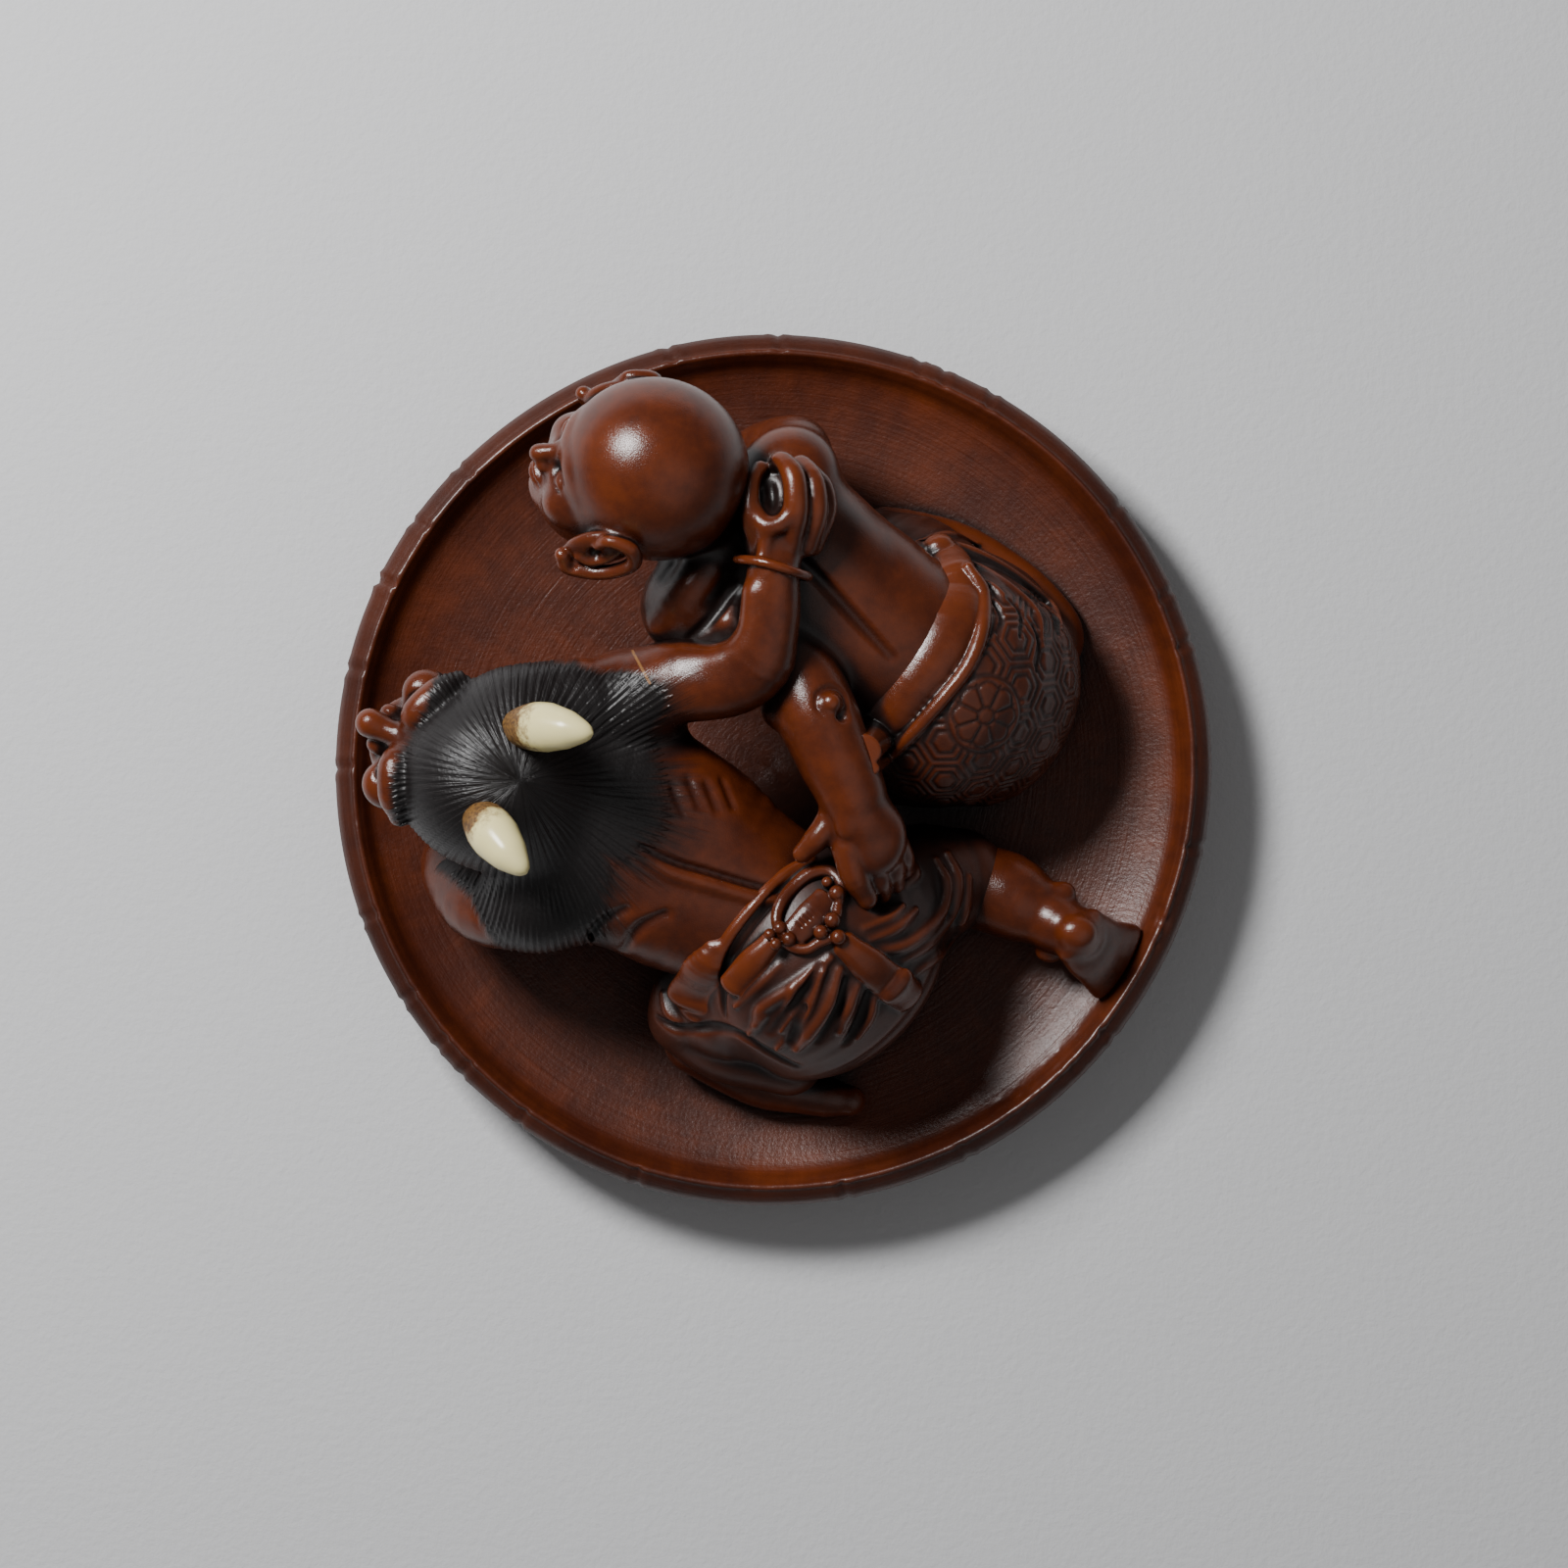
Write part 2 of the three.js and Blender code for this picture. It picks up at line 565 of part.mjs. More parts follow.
function demonSash() {
  const across = DEMON.hipsAcross;
  const ribbon = { across: [0.6, 0.6, 0], sides: 8 };
  return join([
    loft([[-0.6, -7.3, 9.9], [0.5, -8.1, 9.8]], [[5.3, 4.25], [5.4, 4.4]], { across, sides: 20, perSpan: 1, round: 0.15 }),
    ball([1.8, -8.0, 14.0], [1.9, 1.6, 0.9], { forward: [0.71, 0.7, 0] }), // knot
    // the loop over the knot, and the two tails
    loft(
      [
        [-1.5, -9.2, 13.5],
        [-0.6, -7.2, 14.3],
        [1.2, -5.6, 14.5],
        [2.8, -5.4, 14.3],
      ],
      [0.6, 0.65, 0.65, 0.6],
      { sides: 6 },
    ),
    loft([[0.2, -8.6, 14.3], [-1.0, -9.9, 13.6], [-2.2, -11.1, 12.0]], [[0.9, 0.6], [1.0, 0.6], [1.0, 0.5]], ribbon),
    loft([[3.2, -8.4, 14.3], [5.0, -9.9, 13.2], [6.4, -11.2, 11.0]], [[0.9, 0.6], [1.0, 0.6], [1.0, 0.5]], {
      ...ribbon,
      across: [0.6, 0.7, 0],
    }),
  ]);
}

// ---- the horns ----

const HORNS = {
  horn_right: [[-12.5, 2.0, 18.0], [-11.4, 2.1, 19.8], [-9.0, 1.7, 21.2]],
  horn_left: [[-14.5, -2.6, 17.8], [-13.9, -3.4, 19.4], [-12.4, -5.0, 20.7]],
};
const HORN_RADII = [1.1, 1.2, 0.42];
const SOCKET_GAP = 0.3;

// A horn, or with `gap` the socket that it stands in clear of the wood.
const hornSolid = (spine, gap = 0) =>
  loft(spine, HORN_RADII.map((radius) => radius + gap), { sides: 10, perSpan: gap ? 1 : 2, round: gap ? 0.75 : 0.55 });

// ---- the whole ----

const wood = new THREE.MeshStandardMaterial({ name: "wood", color: 0x5a1f10, roughness: 0.3, metalness: 0 });
const horn = new THREE.MeshStandardMaterial({ name: "horn", color: 0xe6dcae, roughness: 0.3, metalness: 0 });

const netsuke = new THREE.Group();

function addMesh(name, made, material) {
  const mesh = new THREE.Mesh(geometryOf(made), material);
  mesh.name = name;
  netsuke.add(mesh);
}

const pieces = [
  hat(),
  wrestlerHead(),
  wrestlerBody(),
  wrestlerGrip(),
  wrestlerRobe(),
  demonHead(),
  demonHair(),
  demonBody(),
  demonClasp(),
  demonSkirt(),
  demonLegs(),
  demonSash(),
];
const sockets = Object.values(HORNS).map((spine) => hornSolid(spine, SOCKET_GAP));
const block = sockets.reduce((whole, socket) => whole.subtract(socket), fillPockets(join(pieces)));
const carving = fillPockets(block.subtract(cordTunnel()).asOriginal().simplify(FINENESS));

addMesh("carving", carving, wood);
for (const [name, spine] of Object.entries(HORNS)) addMesh(name, hornSolid(spine), horn);

export default netsuke;
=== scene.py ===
import math
import random
import time

import bmesh
import bpy
import numpy as np
import openvdb
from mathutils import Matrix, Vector


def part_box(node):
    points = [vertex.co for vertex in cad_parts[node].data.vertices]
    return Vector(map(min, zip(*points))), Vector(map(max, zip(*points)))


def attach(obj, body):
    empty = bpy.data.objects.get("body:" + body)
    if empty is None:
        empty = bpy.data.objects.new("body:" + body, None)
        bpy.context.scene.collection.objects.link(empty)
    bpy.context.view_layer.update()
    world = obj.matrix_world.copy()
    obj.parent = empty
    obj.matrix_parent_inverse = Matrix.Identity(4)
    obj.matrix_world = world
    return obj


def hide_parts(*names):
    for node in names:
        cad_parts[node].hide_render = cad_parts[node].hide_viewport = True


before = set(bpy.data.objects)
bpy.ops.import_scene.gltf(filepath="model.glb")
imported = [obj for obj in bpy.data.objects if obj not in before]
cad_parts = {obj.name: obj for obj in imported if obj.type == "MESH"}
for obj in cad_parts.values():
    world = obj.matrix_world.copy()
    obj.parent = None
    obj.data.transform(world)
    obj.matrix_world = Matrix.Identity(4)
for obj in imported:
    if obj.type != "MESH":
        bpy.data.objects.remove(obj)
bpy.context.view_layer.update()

# Places below are in millimetres from the ground under the hat's centre, on a hat 22.5 mm in radius.
# Both figures face -x; the wrestler is on the +y side and the demon on the -y side.
low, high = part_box("carving")
ground = Vector(((low.x + high.x) / 2, (low.y + high.y) / 2, low.z))
millimetre = (high.x - low.x) / 45


def unitVector(v):
    v = np.array(v, float)
    return v / np.linalg.norm(v)


def smoothCurve(points, steps):
    # Catmull-Rom through the points
    points = np.array(points, float)
    padded = np.vstack([2 * points[0] - points[1], points, 2 * points[-1] - points[-2]])
    made = []
    for i in range(len(points) - 1):
        a, b, c, d = padded[i : i + 4]
        for t in np.arange(steps) / steps:
            made.append(
                0.5
                * (
                    2 * b + (c - a) * t + (2 * a - 5 * b + 4 * c - d) * t**2 + (3 * b - a - 3 * c + d)
                    * t**3
                )
            )
    return np.array(made + [points[-1]])


def eased(values, steps):
    # values given at a curve's points, eased between them
    values = np.array(values, float)
    t = np.linspace(0, len(values) - 1, (len(values) - 1) * steps + 1)
    index = np.minimum(t.astype(int), len(values) - 2)
    share = (t - index) ** 2 * (3 - 2 * (t - index))
    return values[index] * (1 - share[:, None]) + values[index + 1] * share[:, None]


# clay: forms pressed together in a block of voxels


class Sweep:
    # a form swept along a smooth curve; each station has a half width along `across` and a half depth
    def __init__(self, points, sizes, across=None, steps=4, end=None):
        self.centre = smoothCurve(points, steps)
        self.size = eased(
            [size if isinstance(size, (tuple, list)) else (size, size) for size in sizes], steps
        )
        ahead = np.gradient(self.centre, axis=0)
        self.ahead = ahead / np.linalg.norm(ahead, axis=1, keepdims=True)
        if across is None:
            across = (0, 0, 1) if abs(unitVector(self.centre[-1] - self.centre[0])[2]) < 0.8 else (1, 0, 0)
        side = np.array(across, float) - (self.ahead @ np.array(across, float))[:, None] * self.ahead
        self.side = side / np.linalg.norm(side, axis=1, keepdims=True)
        self.up = np.cross(self.ahead, self.side)
        self.end = end

    def reach(self):
        most = self.size.max(axis=1)[:, None]
        return (self.centre - most).min(0), (self.centre + most).max(0)

    def distance(self, block, low, high):
        whole = block.window(low, high)
        made = np.full([s.stop - s.start for s in whole], 9.0, np.float32)
        for i in range(len(self.centre) - 1):
            most = self.size[i : i + 2].max() + min(1.2, 0.4 + self.size[i : i + 2].max())
            pair = self.centre[i : i + 2]
            window = block.window(np.maximum(pair.min(0) - most, low), np.minimum(pair.max(0) + most, high))
            if any(s.stop <= s.start for s in window):
                continue
            rel = [axis - start for axis, start in zip(block.places(window), pair[0])]
            axis = pair[1] - pair[0]
            t = np.clip(sum(r * a for r, a in zip(rel, axis)) / (axis @ axis), 0, 1)
            off = [r - t * a for r, a in zip(rel, axis)]
            mix = lambda a: [a[i][k] + (a[i + 1][k] - a[i][k]) * t for k in range(a.shape[1])]
            width, depth = mix(self.size)
            u = sum(o * s for o, s in zip(off, mix(self.side)))
            v = sum(o * s for o, s in zip(off, mix(self.up)))
            w = sum(o * s for o, s in zip(off, self.ahead[i]))
            length = np.minimum(width, depth) if self.end is None else self.end
            inside = np.sqrt((u / width) ** 2 + (v / depth) ** 2 + (w / length) ** 2) + 1e-6
            slope = np.sqrt((u / width**2) ** 2 + (v / depth**2) ** 2 + (w / length**2) ** 2) + 1e-6
            part = tuple(slice(s.start - o.start, s.stop - o.start) for s, o in zip(window, whole))
            made[part] = np.minimum(made[part], inside * (inside - 1) / slope)
        return made


class Ball:
    # an ellipsoid: its first radius lies along `forward`, its third nearest to `up`
    def __init__(self, at, radii, forward=(1, 0, 0), up=(0, 0, 1)):
        x = unitVector(forward)
        y = unitVector(np.cross(up, x))
        self.at = np.array(at, float)
        self.radii = np.array(radii, float) * np.ones(3)
        self.turn = np.array([x, y, np.cross(x, y)])

    def reach(self):
        return self.at - self.radii.max(), self.at + self.radii.max()

    def distance(self, block, low, high):
        rel = [axis - at for axis, at in zip(block.places(block.window(low, high)), self.at)]
        own = [sum(r * a for r, a in zip(rel, axis)) for axis in self.turn]
        inside = np.sqrt(sum((o / r) ** 2 for o, r in zip(own, self.radii))) + 1e-6
        slope = np.sqrt(sum((o / r**2) ** 2 for o, r in zip(own, self.radii))) + 1e-6
        return (inside * (inside - 1) / slope).astype(np.float32)


def halved(grid):
    # the same field at half the spacing
    for axis in range(3):
        part = np.moveaxis(grid, axis, 0)
        made = np.empty((2 * len(part) - 1, *part.shape[1:]), np.float32)
        made[::2] = part
        made[1::2] = (part[:-1] + part[1:]) / 2
        made[3:-3:2] = (part[1:-2] + part[2:-1]) * 0.5625 - (part[:-3] + part[3:]) * 0.0625
        grid = np.moveaxis(made, 0, axis)
    return np.ascontiguousarray(grid)


def blurred(grid, passes):
    for _ in range(passes):
        for axis in range(3):
            part = np.moveaxis(grid, axis, 0)
            middle = part[1:-1] * 0.5 + (part[:-2] + part[2:]) * 0.25
            grid = grid.copy()
            np.moveaxis(grid, axis, 0)[1:-1] = middle
    return grid


class Clay:
    def __init__(self, low, high, grain):
        self.low = np.array(low, float)
        self.grain = grain * 1
        self.shape = [int((b - a) / self.grain) for a, b in zip(low, high)]
        self.skin = np.full(self.shape, 3.0, np.float32)
        self.paint = {}
        self.rule()

    def rule(self):
        self.axes = [(a + self.grain * np.arange(n)).astype(np.float32) for a, n in zip(self.low, self.shape)]

    def refine(self):
        # the same clay at half the grain
        self.skin = halved(self.skin)
        self.paint = {name: halved(layer) for name, layer in self.paint.items()}
        self.grain, self.shape = self.grain / 2, list(self.skin.shape)
        self.rule()

    def window(self, low, high):
        first = np.floor((np.array(low) - self.low) / self.grain).astype(int)
        last = np.ceil((np.array(high) - self.low) / self.grain).astype(int) + 1
        return tuple(slice(max(0, a), max(0, min(b, n))) for a, b, n in zip(first, last, self.shape))

    def places(self, window):
        x, y, z = [axis[s] for axis, s in zip(self.axes, window)]
        return x[:, None, None], y[None, :, None], z[None, None, :]

    def near(self, form, margin):
        low, high = form.reach()
        low, high = low - margin, high + margin
        return self.window(low, high), form.distance(self, low, high)

    def add(self, form, blend=0.3, paint=None, over=0.12):
        window, new = self.near(form, blend + 0.5)
        old = self.skin[window]
        share = np.clip(0.5 + 0.5 * (old - new) / blend, 0, 1)
        cover = np.clip(0.5 + 0.5 * (old - new) / over, 0, 1)
        self.skin[window] = old + (new - old) * share - blend * share * (1 - share)
        if paint and paint not in self.paint:
            self.paint[paint] = np.zeros(self.shape, np.float32)
        for name, layer in self.paint.items():
            layer[window] = layer[window] * (1 - cover) + (cover if name == paint else 0)

    def cut(self, form, blend=0.2):
        window, new = self.near(form, blend + 0.5)
        old = self.skin[window]
        share = np.clip(0.5 - 0.5 * (new + old) / blend, 0, 1)
        self.skin[window] = old - (new + old) * share + blend * share * (1 - share)

    def smooth(self, passes=2):
        self.skin = blurred(self.skin, passes)

    def top(self, x, y):
        # the height of the highest skin under (x, y), or nothing where there is none
        i, j = [int(round((v - o) / self.grain)) for v, o in zip((x, y), self.low)]
        if not (0 <= i < self.shape[0] and 0 <= j < self.shape[1]):
            return 0.0
        column = self.skin[i, j]
        inside = np.nonzero(column < 0)[0]
        if not len(inside) or inside[-1] + 1 >= len(column):
            return 0.0
        k = inside[-1]
        return self.low[2] + self.grain * (k + column[k] / (column[k] - column[k + 1]))

    def sample(self, grid, points):
        at = np.clip((points - self.low) / self.grain, 0, np.array(self.shape) - 1.001)
        i = at.astype(int)
        f = (at - i).astype(np.float32)
        made = 0
        for corner in range(8):
            step = [corner >> k & 1 for k in range(3)]
            weight = np.prod([f[:, k] if s else 1 - f[:, k] for k, s in enumerate(step)], axis=0)
            made = made + weight * grid[i[:, 0] + step[0], i[:, 1] + step[1], i[:, 2] + step[2]]
        return made

    def polygons(self):
        for axis in range(3):  # nothing stays open at the edge of the block
            part = np.moveaxis(self.skin, axis, 0)
            part[0] = np.maximum(part[0], 0.05)
            part[-1] = np.maximum(part[-1], 0.05)
        grid = openvdb.FloatGrid(background=3.0)
        grid.copyFromArray(self.skin)
        points, triangles, quads = grid.convertToPolygons(isovalue=0.0, adaptivity=0.0)
        return self.low + points.astype(float) * self.grain, quads


def stroke(block, path, sizes, lift=0.0, blend=0.12, carve=False, paint=None, on=(), steps=6):
    # a ridge or a groove whose path is given in plan and laid over the highest skin below it
    plan = smoothCurve(path, steps)
    heights = np.array([max(clay.top(x, y) for clay in (block, *on)) for x, y in plan])
    heights = np.convolve(np.pad(heights, 2, "edge"), np.ones(5) / 5, "valid")
    line = Sweep([(0, 0, 0), (1, 0, 0)], [1, 1], steps=1)
    line.centre = np.column_stack([plan, heights + lift])
    line.size = eased([size if isinstance(size, tuple) else (size, size) for size in sizes], steps)
    ahead = np.gradient(line.centre, axis=0)
    line.ahead = ahead / np.linalg.norm(ahead, axis=1, keepdims=True)
    line.side = np.cross((0, 0, 1), line.ahead)
    line.side /= np.linalg.norm(line.side, axis=1, keepdims=True)
    line.up = np.cross(line.ahead, line.side)
    if carve:
        block.cut(line, blend)
    else:
        block.add(line, blend, paint)


def headPlaces(head):
    # a head's own frame: forward, left and up from the middle of its skull
    f = unitVector(head["forward"])
    l = unitVector(np.cross(head["up"], f))
    u = np.cross(f, l)
    point = lambda p: np.array(head["at"]) + p[0] * f + p[1] * l + p[2] * u
    return point, dict(forward=f, up=u)


def flatHand(block, at, forward, thumbSide):
    ahead = unitVector(forward)
    beside = np.cross((0, 0, 1), ahead) * thumbSide
    place = lambda along, aside, lift: np.array(at) + along * ahead + aside * beside + np.array((0, 0, lift))
    block.add(Ball(at, (1.7, 1.5, 0.8), forward=ahead), 0.5)
    for i, aside in enumerate((-1.1, -0.37, 0.37, 1.1)):
        knuckles = [
            place(0.6, aside, 0.25), place(1.9, aside * 1.2, 0.35),
            place(3.0 - 0.3 * abs(i - 1.4), aside * 1.4, -0.1)
        ]
        block.add(Sweep(knuckles, (0.42, 0.4, 0.33)), 0.12)
    block.add(
        Sweep([place(-0.5, 1.0, 0.1), place(0.2, 1.7, 0.1), place(1.1, 2.1, 0)], (0.5, 0.45, 0.36)), 0.2
    )


# the wrestler

wrestler = {
    "across": (0.55, 0.83, 0.03),  # from his left shoulder to his right
    "hipsAcross": (0.43, 0.9, 0),
    "head": {"at": (-5.9, 15.0, 17.2), "forward": (-0.85, 0.33, 0.41), "up": (0.44, 0.4, 0.8)},
    "skull": 4.65,
    "ear": {"at": (1.6, 4.55, -1.7), "tall": (-0.49, 0, 0.87), "wide": (0.87, 0, 0.49)},
}


def wrestlerHead(block):
    point, axes = headPlaces(wrestler["head"])
    skull = wrestler["skull"]
    part = lambda at, radii: Ball(point(at), radii, **axes)
    block.add(part((0, 0, 0), (skull * 1.03, skull * 0.98, skull)), 0.8)
    block.add(part((1.2, 0, -2.3), (3.5, 3.6, 3.6)), 0.8)
    block.add(part((1.7, 0, -4.1), (2.6, 2.7, 1.9)), 0.8)  # jaw
    block.add(part((3.2, 0, -4.95), (1.1, 1.2, 0.85)), 0.6)  # chin


def wrestlerFace(block):
    point, axes = headPlaces(wrestler["head"])
    part = lambda at, radii: Ball(point(at), radii, **axes)
    line = lambda spots, sizes: Sweep([point(p) for p in spots], sizes)
    block.add(
        line(
            [(3.2, -2.5, -1.05), (4.15, -1.3, -0.7), (4.35, 0, -0.8), (4.15, 1.3, -0.7), (3.2, 2.5, -1.05)],
            [0.3, 0.42, 0.36, 0.42, 0.3]
        ), 0.5
    )
    for side in (1, -1):
        block.add(part((3.1, side * 2.1, -2.9), (1.3, 1.1, 1.1)), 0.6)  # cheek
        block.cut(part((4.75, side * 1.4, -1.75), (0.8, 0.85, 0.45)), 0.4)
        block.add(part((3.78, side * 1.45, -1.8), (0.72, 0.8, 0.5)), 0.15)  # eye
        lash = [(4.35, side * 0.75, -1.95), (4.5, side * 1.45, -2.1), (4.0, side * 2.2, -1.95)]
        block.cut(line(lash, [0.07, 0.1, 0.07]), 0.1)
    block.add(line([(4.1, 0, -1.1), (4.7, 0, -1.8), (5.25, 0, -2.55)], [0.33, 0.4, 0.48]), 0.35)  # nose
    for side in (1, -1):
        block.add(part((4.8, side * 0.48, -2.75), (0.42, 0.34, 0.32)), 0.2)
    block.add(part((4.3, 0, -3.55), (0.75, 1.05, 0.33)), 0.3)  # lips
    block.add(part((4.2, 0, -4.05), (0.75, 0.85, 0.33)), 0.3)
    block.cut(line([(4.4, -1.05, -3.8), (5.0, 0, -3.82), (4.4, 1.05, -3.8)], [0.07, 0.11, 0.07]), 0.15)
    ear = {name: np.array(place) for name, place in wrestler["ear"].items()}
    for side in (1, -1):
        # a rolled rim round a hollow, with a long lobe; places are along it, across it and out from it
        at = lambda a, b, out: point(
            (ear["at"] + a * ear["tall"] + b * ear["wide"] + (0, out, 0)) * (1, side, 1)
        )
        block.add(
            Ball(
                at(0, 0, -0.15), (2.0, 0.55, 1.25), forward=at(1, 0, 0) - at(0, 0, 0),
                up=at(0, 1, 0) - at(0, 0, 0)
            ), 0.3
        )
        rim = [
            (0.3, 0.7, 0.25), (1.15, 0.9, 0.3), (1.9, 0.1, 0.45), (1.5, -0.9, 0.6), (0.2, -1.2, 0.65),
            (-1.1, -0.95, 0.55), (-1.95, -0.25, 0.35), (-1.9, 0.45, 0.2)
        ]
        block.add(Sweep([at(*p) for p in rim], [0.26, 0.34, 0.4, 0.4, 0.38, 0.4, 0.5, 0.4]), 0.1)
        block.cut(
            Sweep([at(1.1, 0.2, 0.45), (at(0.6, -0.45, 0.55)), at(-0.5, -0.5, 0.5)], [0.28, 0.3, 0.26]),
            0.08
        )
        block.add(
            Sweep(
                [at(1.2, -0.1, 0.2), at(0.2, -0.45, 0.35), at(-0.7, -0.3, 0.4), at(-1.1, 0.2, 0.3)],
                [0.2, 0.24, 0.26, 0.24]
            ), 0.08
        )
        block.cut(Ball(at(-0.1, 0.25, 0.4), (0.35, 0.35, 0.45)), 0.12)
        block.cut(Ball(at(-1.45, -0.1, 0.75), (0.26, 0.26, 0.3)), 0.12)


def wrestlerBody(block):
    across = wrestler["across"]
    blade = dict(forward=(0.75, -0.65, -0.1))
    back = Sweep(
        [(-3.0, 12.6, 12.3), (-0.4, 10.9, 11.7), (3.2, 8.3, 11.0), (6.2, 6.4, 9.9), (9.0, 4.6, 8.4)],
        [(3.6, 2.6), (5.4, 3.7), (5.0, 3.8), (4.7, 3.8), (4.4, 3.8)],
        across,
    )
    block.add(back, 0.8)
    block.add(Sweep([(-1.2, 12, 13), (-3.4, 12.9, 14.4), (-4.8, 13.7, 15.4)], [2.7, 2.4, 2.4]), 0.9)  # neck
    block.add(Ball((0.9, 14.9, 12.6), (2.5, 2.4, 2.3)), 0.8)  # right shoulder
    block.add(Ball((-4.3, 8.3, 12.9), (2.35, 2.5, 2.3)), 0.7)  # left shoulder
    block.add(Ball((2.7, 10.9, 12.9), (3.2, 2.4, 2.1), **blade), 0.9)
    block.add(Ball((-0.4, 7.6, 12.7), (3.0, 2.2, 1.8), **blade), 0.9)
    block.add(Ball((1.0, 9.0, 7.8), (4.2, 4.4, 3.0), **blade), 1.0)  # chest and belly
    # left arm, over the demon's back
    arm = [
        (-4.2, 8.0, 13.0), (-1.2, 6.4, 13.3), (1.2, 4.7, 13.8), (2.2, 2.8, 14.2), (3.1, 0.7, 14.3),
        (3.9, -1.0, 14.1), (4.3, -2.3, 13.9)
    ]
    block.add(Sweep(arm, [2.2, 2.1, 2.05, 2.1, 1.95, 1.8, 1.6]), 0.5)
    block.add(Ball((0.55, 2.9, 13.8), (1.15, 0.9, 1.0)), 0.6)
    # right arm, down to the floor
    block.add(
        Sweep(
            [(0.9, 14.9, 12.4), (1.2, 16.2, 9.4), (-0.4, 16.2, 6.6), (-2.2, 15.3, 4.2)],
            [2.0, 1.75, 1.55, 1.1]
        ), 0.5
    )


def wrestlerMuscles(block):
    block.add(
        Sweep(
            [(-2.0, 11.6, 14.2), (-3.3, 10.1, 14.9), (-4.5, 8.5, 14.7), (-5.5, 7.4, 13.9)],
            [0.9, 1.2, 1.15, 0.8]
        ), 0.5
    )
    block.add(Sweep([(-1.8, 8.9, 14.3), (-2.1, 7.4, 14.7)], [0.7, 0.95]), 0.35)
    stroke(
        block, [(-4.2, 6.5), (-3.4, 7.2), (-2.6, 8.1), (-1.7, 9.3)], [0.12, 0.2, 0.2, 0.12], carve=True,
        blend=0.3
    )
    # spine
    stroke(
        block, [(-0.2, 12.2), (1.3, 10.6), (2.8, 9.1), (4.4, 7.35), (6.0, 5.6)],
        [0.1, 0.2, 0.26, 0.26, 0.16], carve=True, blend=0.4
    )
    # the point of the elbow, in its ring of wrinkles
    top = block.top(2.93, 3.33)
    block.add(Ball((2.93, 3.33, top - 0.05), (0.5, 0.5, 0.4)), 0.1)
    ring = [
        (2.93 + 0.78 * math.cos(math.radians(a)), 3.33 + 0.78 * math.sin(math.radians(a)))
        for a in range(-60, 241, 50)
    ]
    stroke(block, ring, [0.1, 0.16, 0.16, 0.16, 0.16, 0.12, 0.08], carve=True, blend=0.1)
    block.cut(Ball((3.55, 2.65, block.top(3.55, 2.65)), (0.35, 0.3, 0.3)), 0.2)


def wrestlerHands(block):
    flatHand(block, (-3.1, 14.6, 3.1), (-1, -0.35, 0), 1)
    block.add(Ball((4.75, -3.4, 13.6), (2.15, 2.0, 1.35), forward=(0.2, -1, -0.1)), 0.6)
    for knuckles, girth in (
        ([(3.8, -3.9, 14.1), (4.1, -5.3, 13.9), (4.7, -6.5, 13.2)], (0.85, 0.75, 0.6)),
        ([(4.9, -4.3, 13.8), (5.35, -5.5, 13.0), (5.5, -6.3, 12.1)], (0.7, 0.62, 0.5)),
        ([(5.7, -4.1, 13.5), (6.1, -5.0, 12.7), (6.2, -5.8, 11.8)], (0.7, 0.62, 0.5)),
        ([(6.2, -3.6, 13.1), (6.6, -4.4, 12.4), (6.7, -5.1, 11.6)], (0.62, 0.55, 0.45)),
    ):
        block.add(Sweep(knuckles, girth), 0.12)
    block.add(Sweep([(3.2, -2.2, 13.9), (2.4, -3.3, 14.0), (1.5, -4.25, 13.7)], (0.8, 0.68, 0.5)), 0.25)
    block.add(Ball((3.7, -2.5, 14.9), (0.55, 1.0, 0.5)), 0.3)  # wrist bone
    block.add(Ball((4.5, -1.8, 14.8), (0.4, 0.6, 0.4)), 0.3)


def wrestlerRobe(block):
    across = wrestler["hipsAcross"]
    hips = Sweep(
        [(6.8, 5.3, 9.0), (9.2, 4.2, 8.4), (11.4, 3.5, 6.5), (12.4, 3.3, 4.6)],
        [(4.2, 3.6), (6.2, 4.9), (5.6, 4.3), (3.8, 2.6)], across
    )
    block.add(hips, 0.4, "cloth")
    block.add(Ball((9.0, 3.8, 5.0), (5.0, 5.9, 3.2), forward=(0.9, -0.43, 0)), 0.8, "cloth")
    block.add(Sweep([(9.6, 8.0, 6.4), (7.6, 10.4, 5.0), (5.6, 11.4, 4.2)], [3.0, 2.5, 1.9]), 0.8, "cloth")
    block.add(Sweep([(7.8, 1.2, 6.4), (4.9, 0.8, 5.2), (2.8, 1.6, 4.2)], [2.9, 2.5, 2.0]), 0.8, "cloth")
    hem = [(5.6, 11.0, 8.6), (7.3, 10.7, 8.6), (9.9, 10.4, 7.6), (12.4, 9.3, 6.0), (14.0, 7.6, 4.8)]
    block.add(Sweep(hem, [0.7, 0.9, 1.0, 0.95, 0.8]), 0.3, "cloth")
    foot = [
        (5.8, 12.0, 3.6), (9.2, 11.7, 3.5), (12.5, 9.9, 3.5), (14.5, 7.9, 3.6), (15.0, 6.6, 3.6),
        (14.5, 5.3, 3.6)
    ]
    block.add(Sweep(foot, [1.5, 1.1, 1.0, 1.0, 1.0, 0.8]), 0.2, "polish")


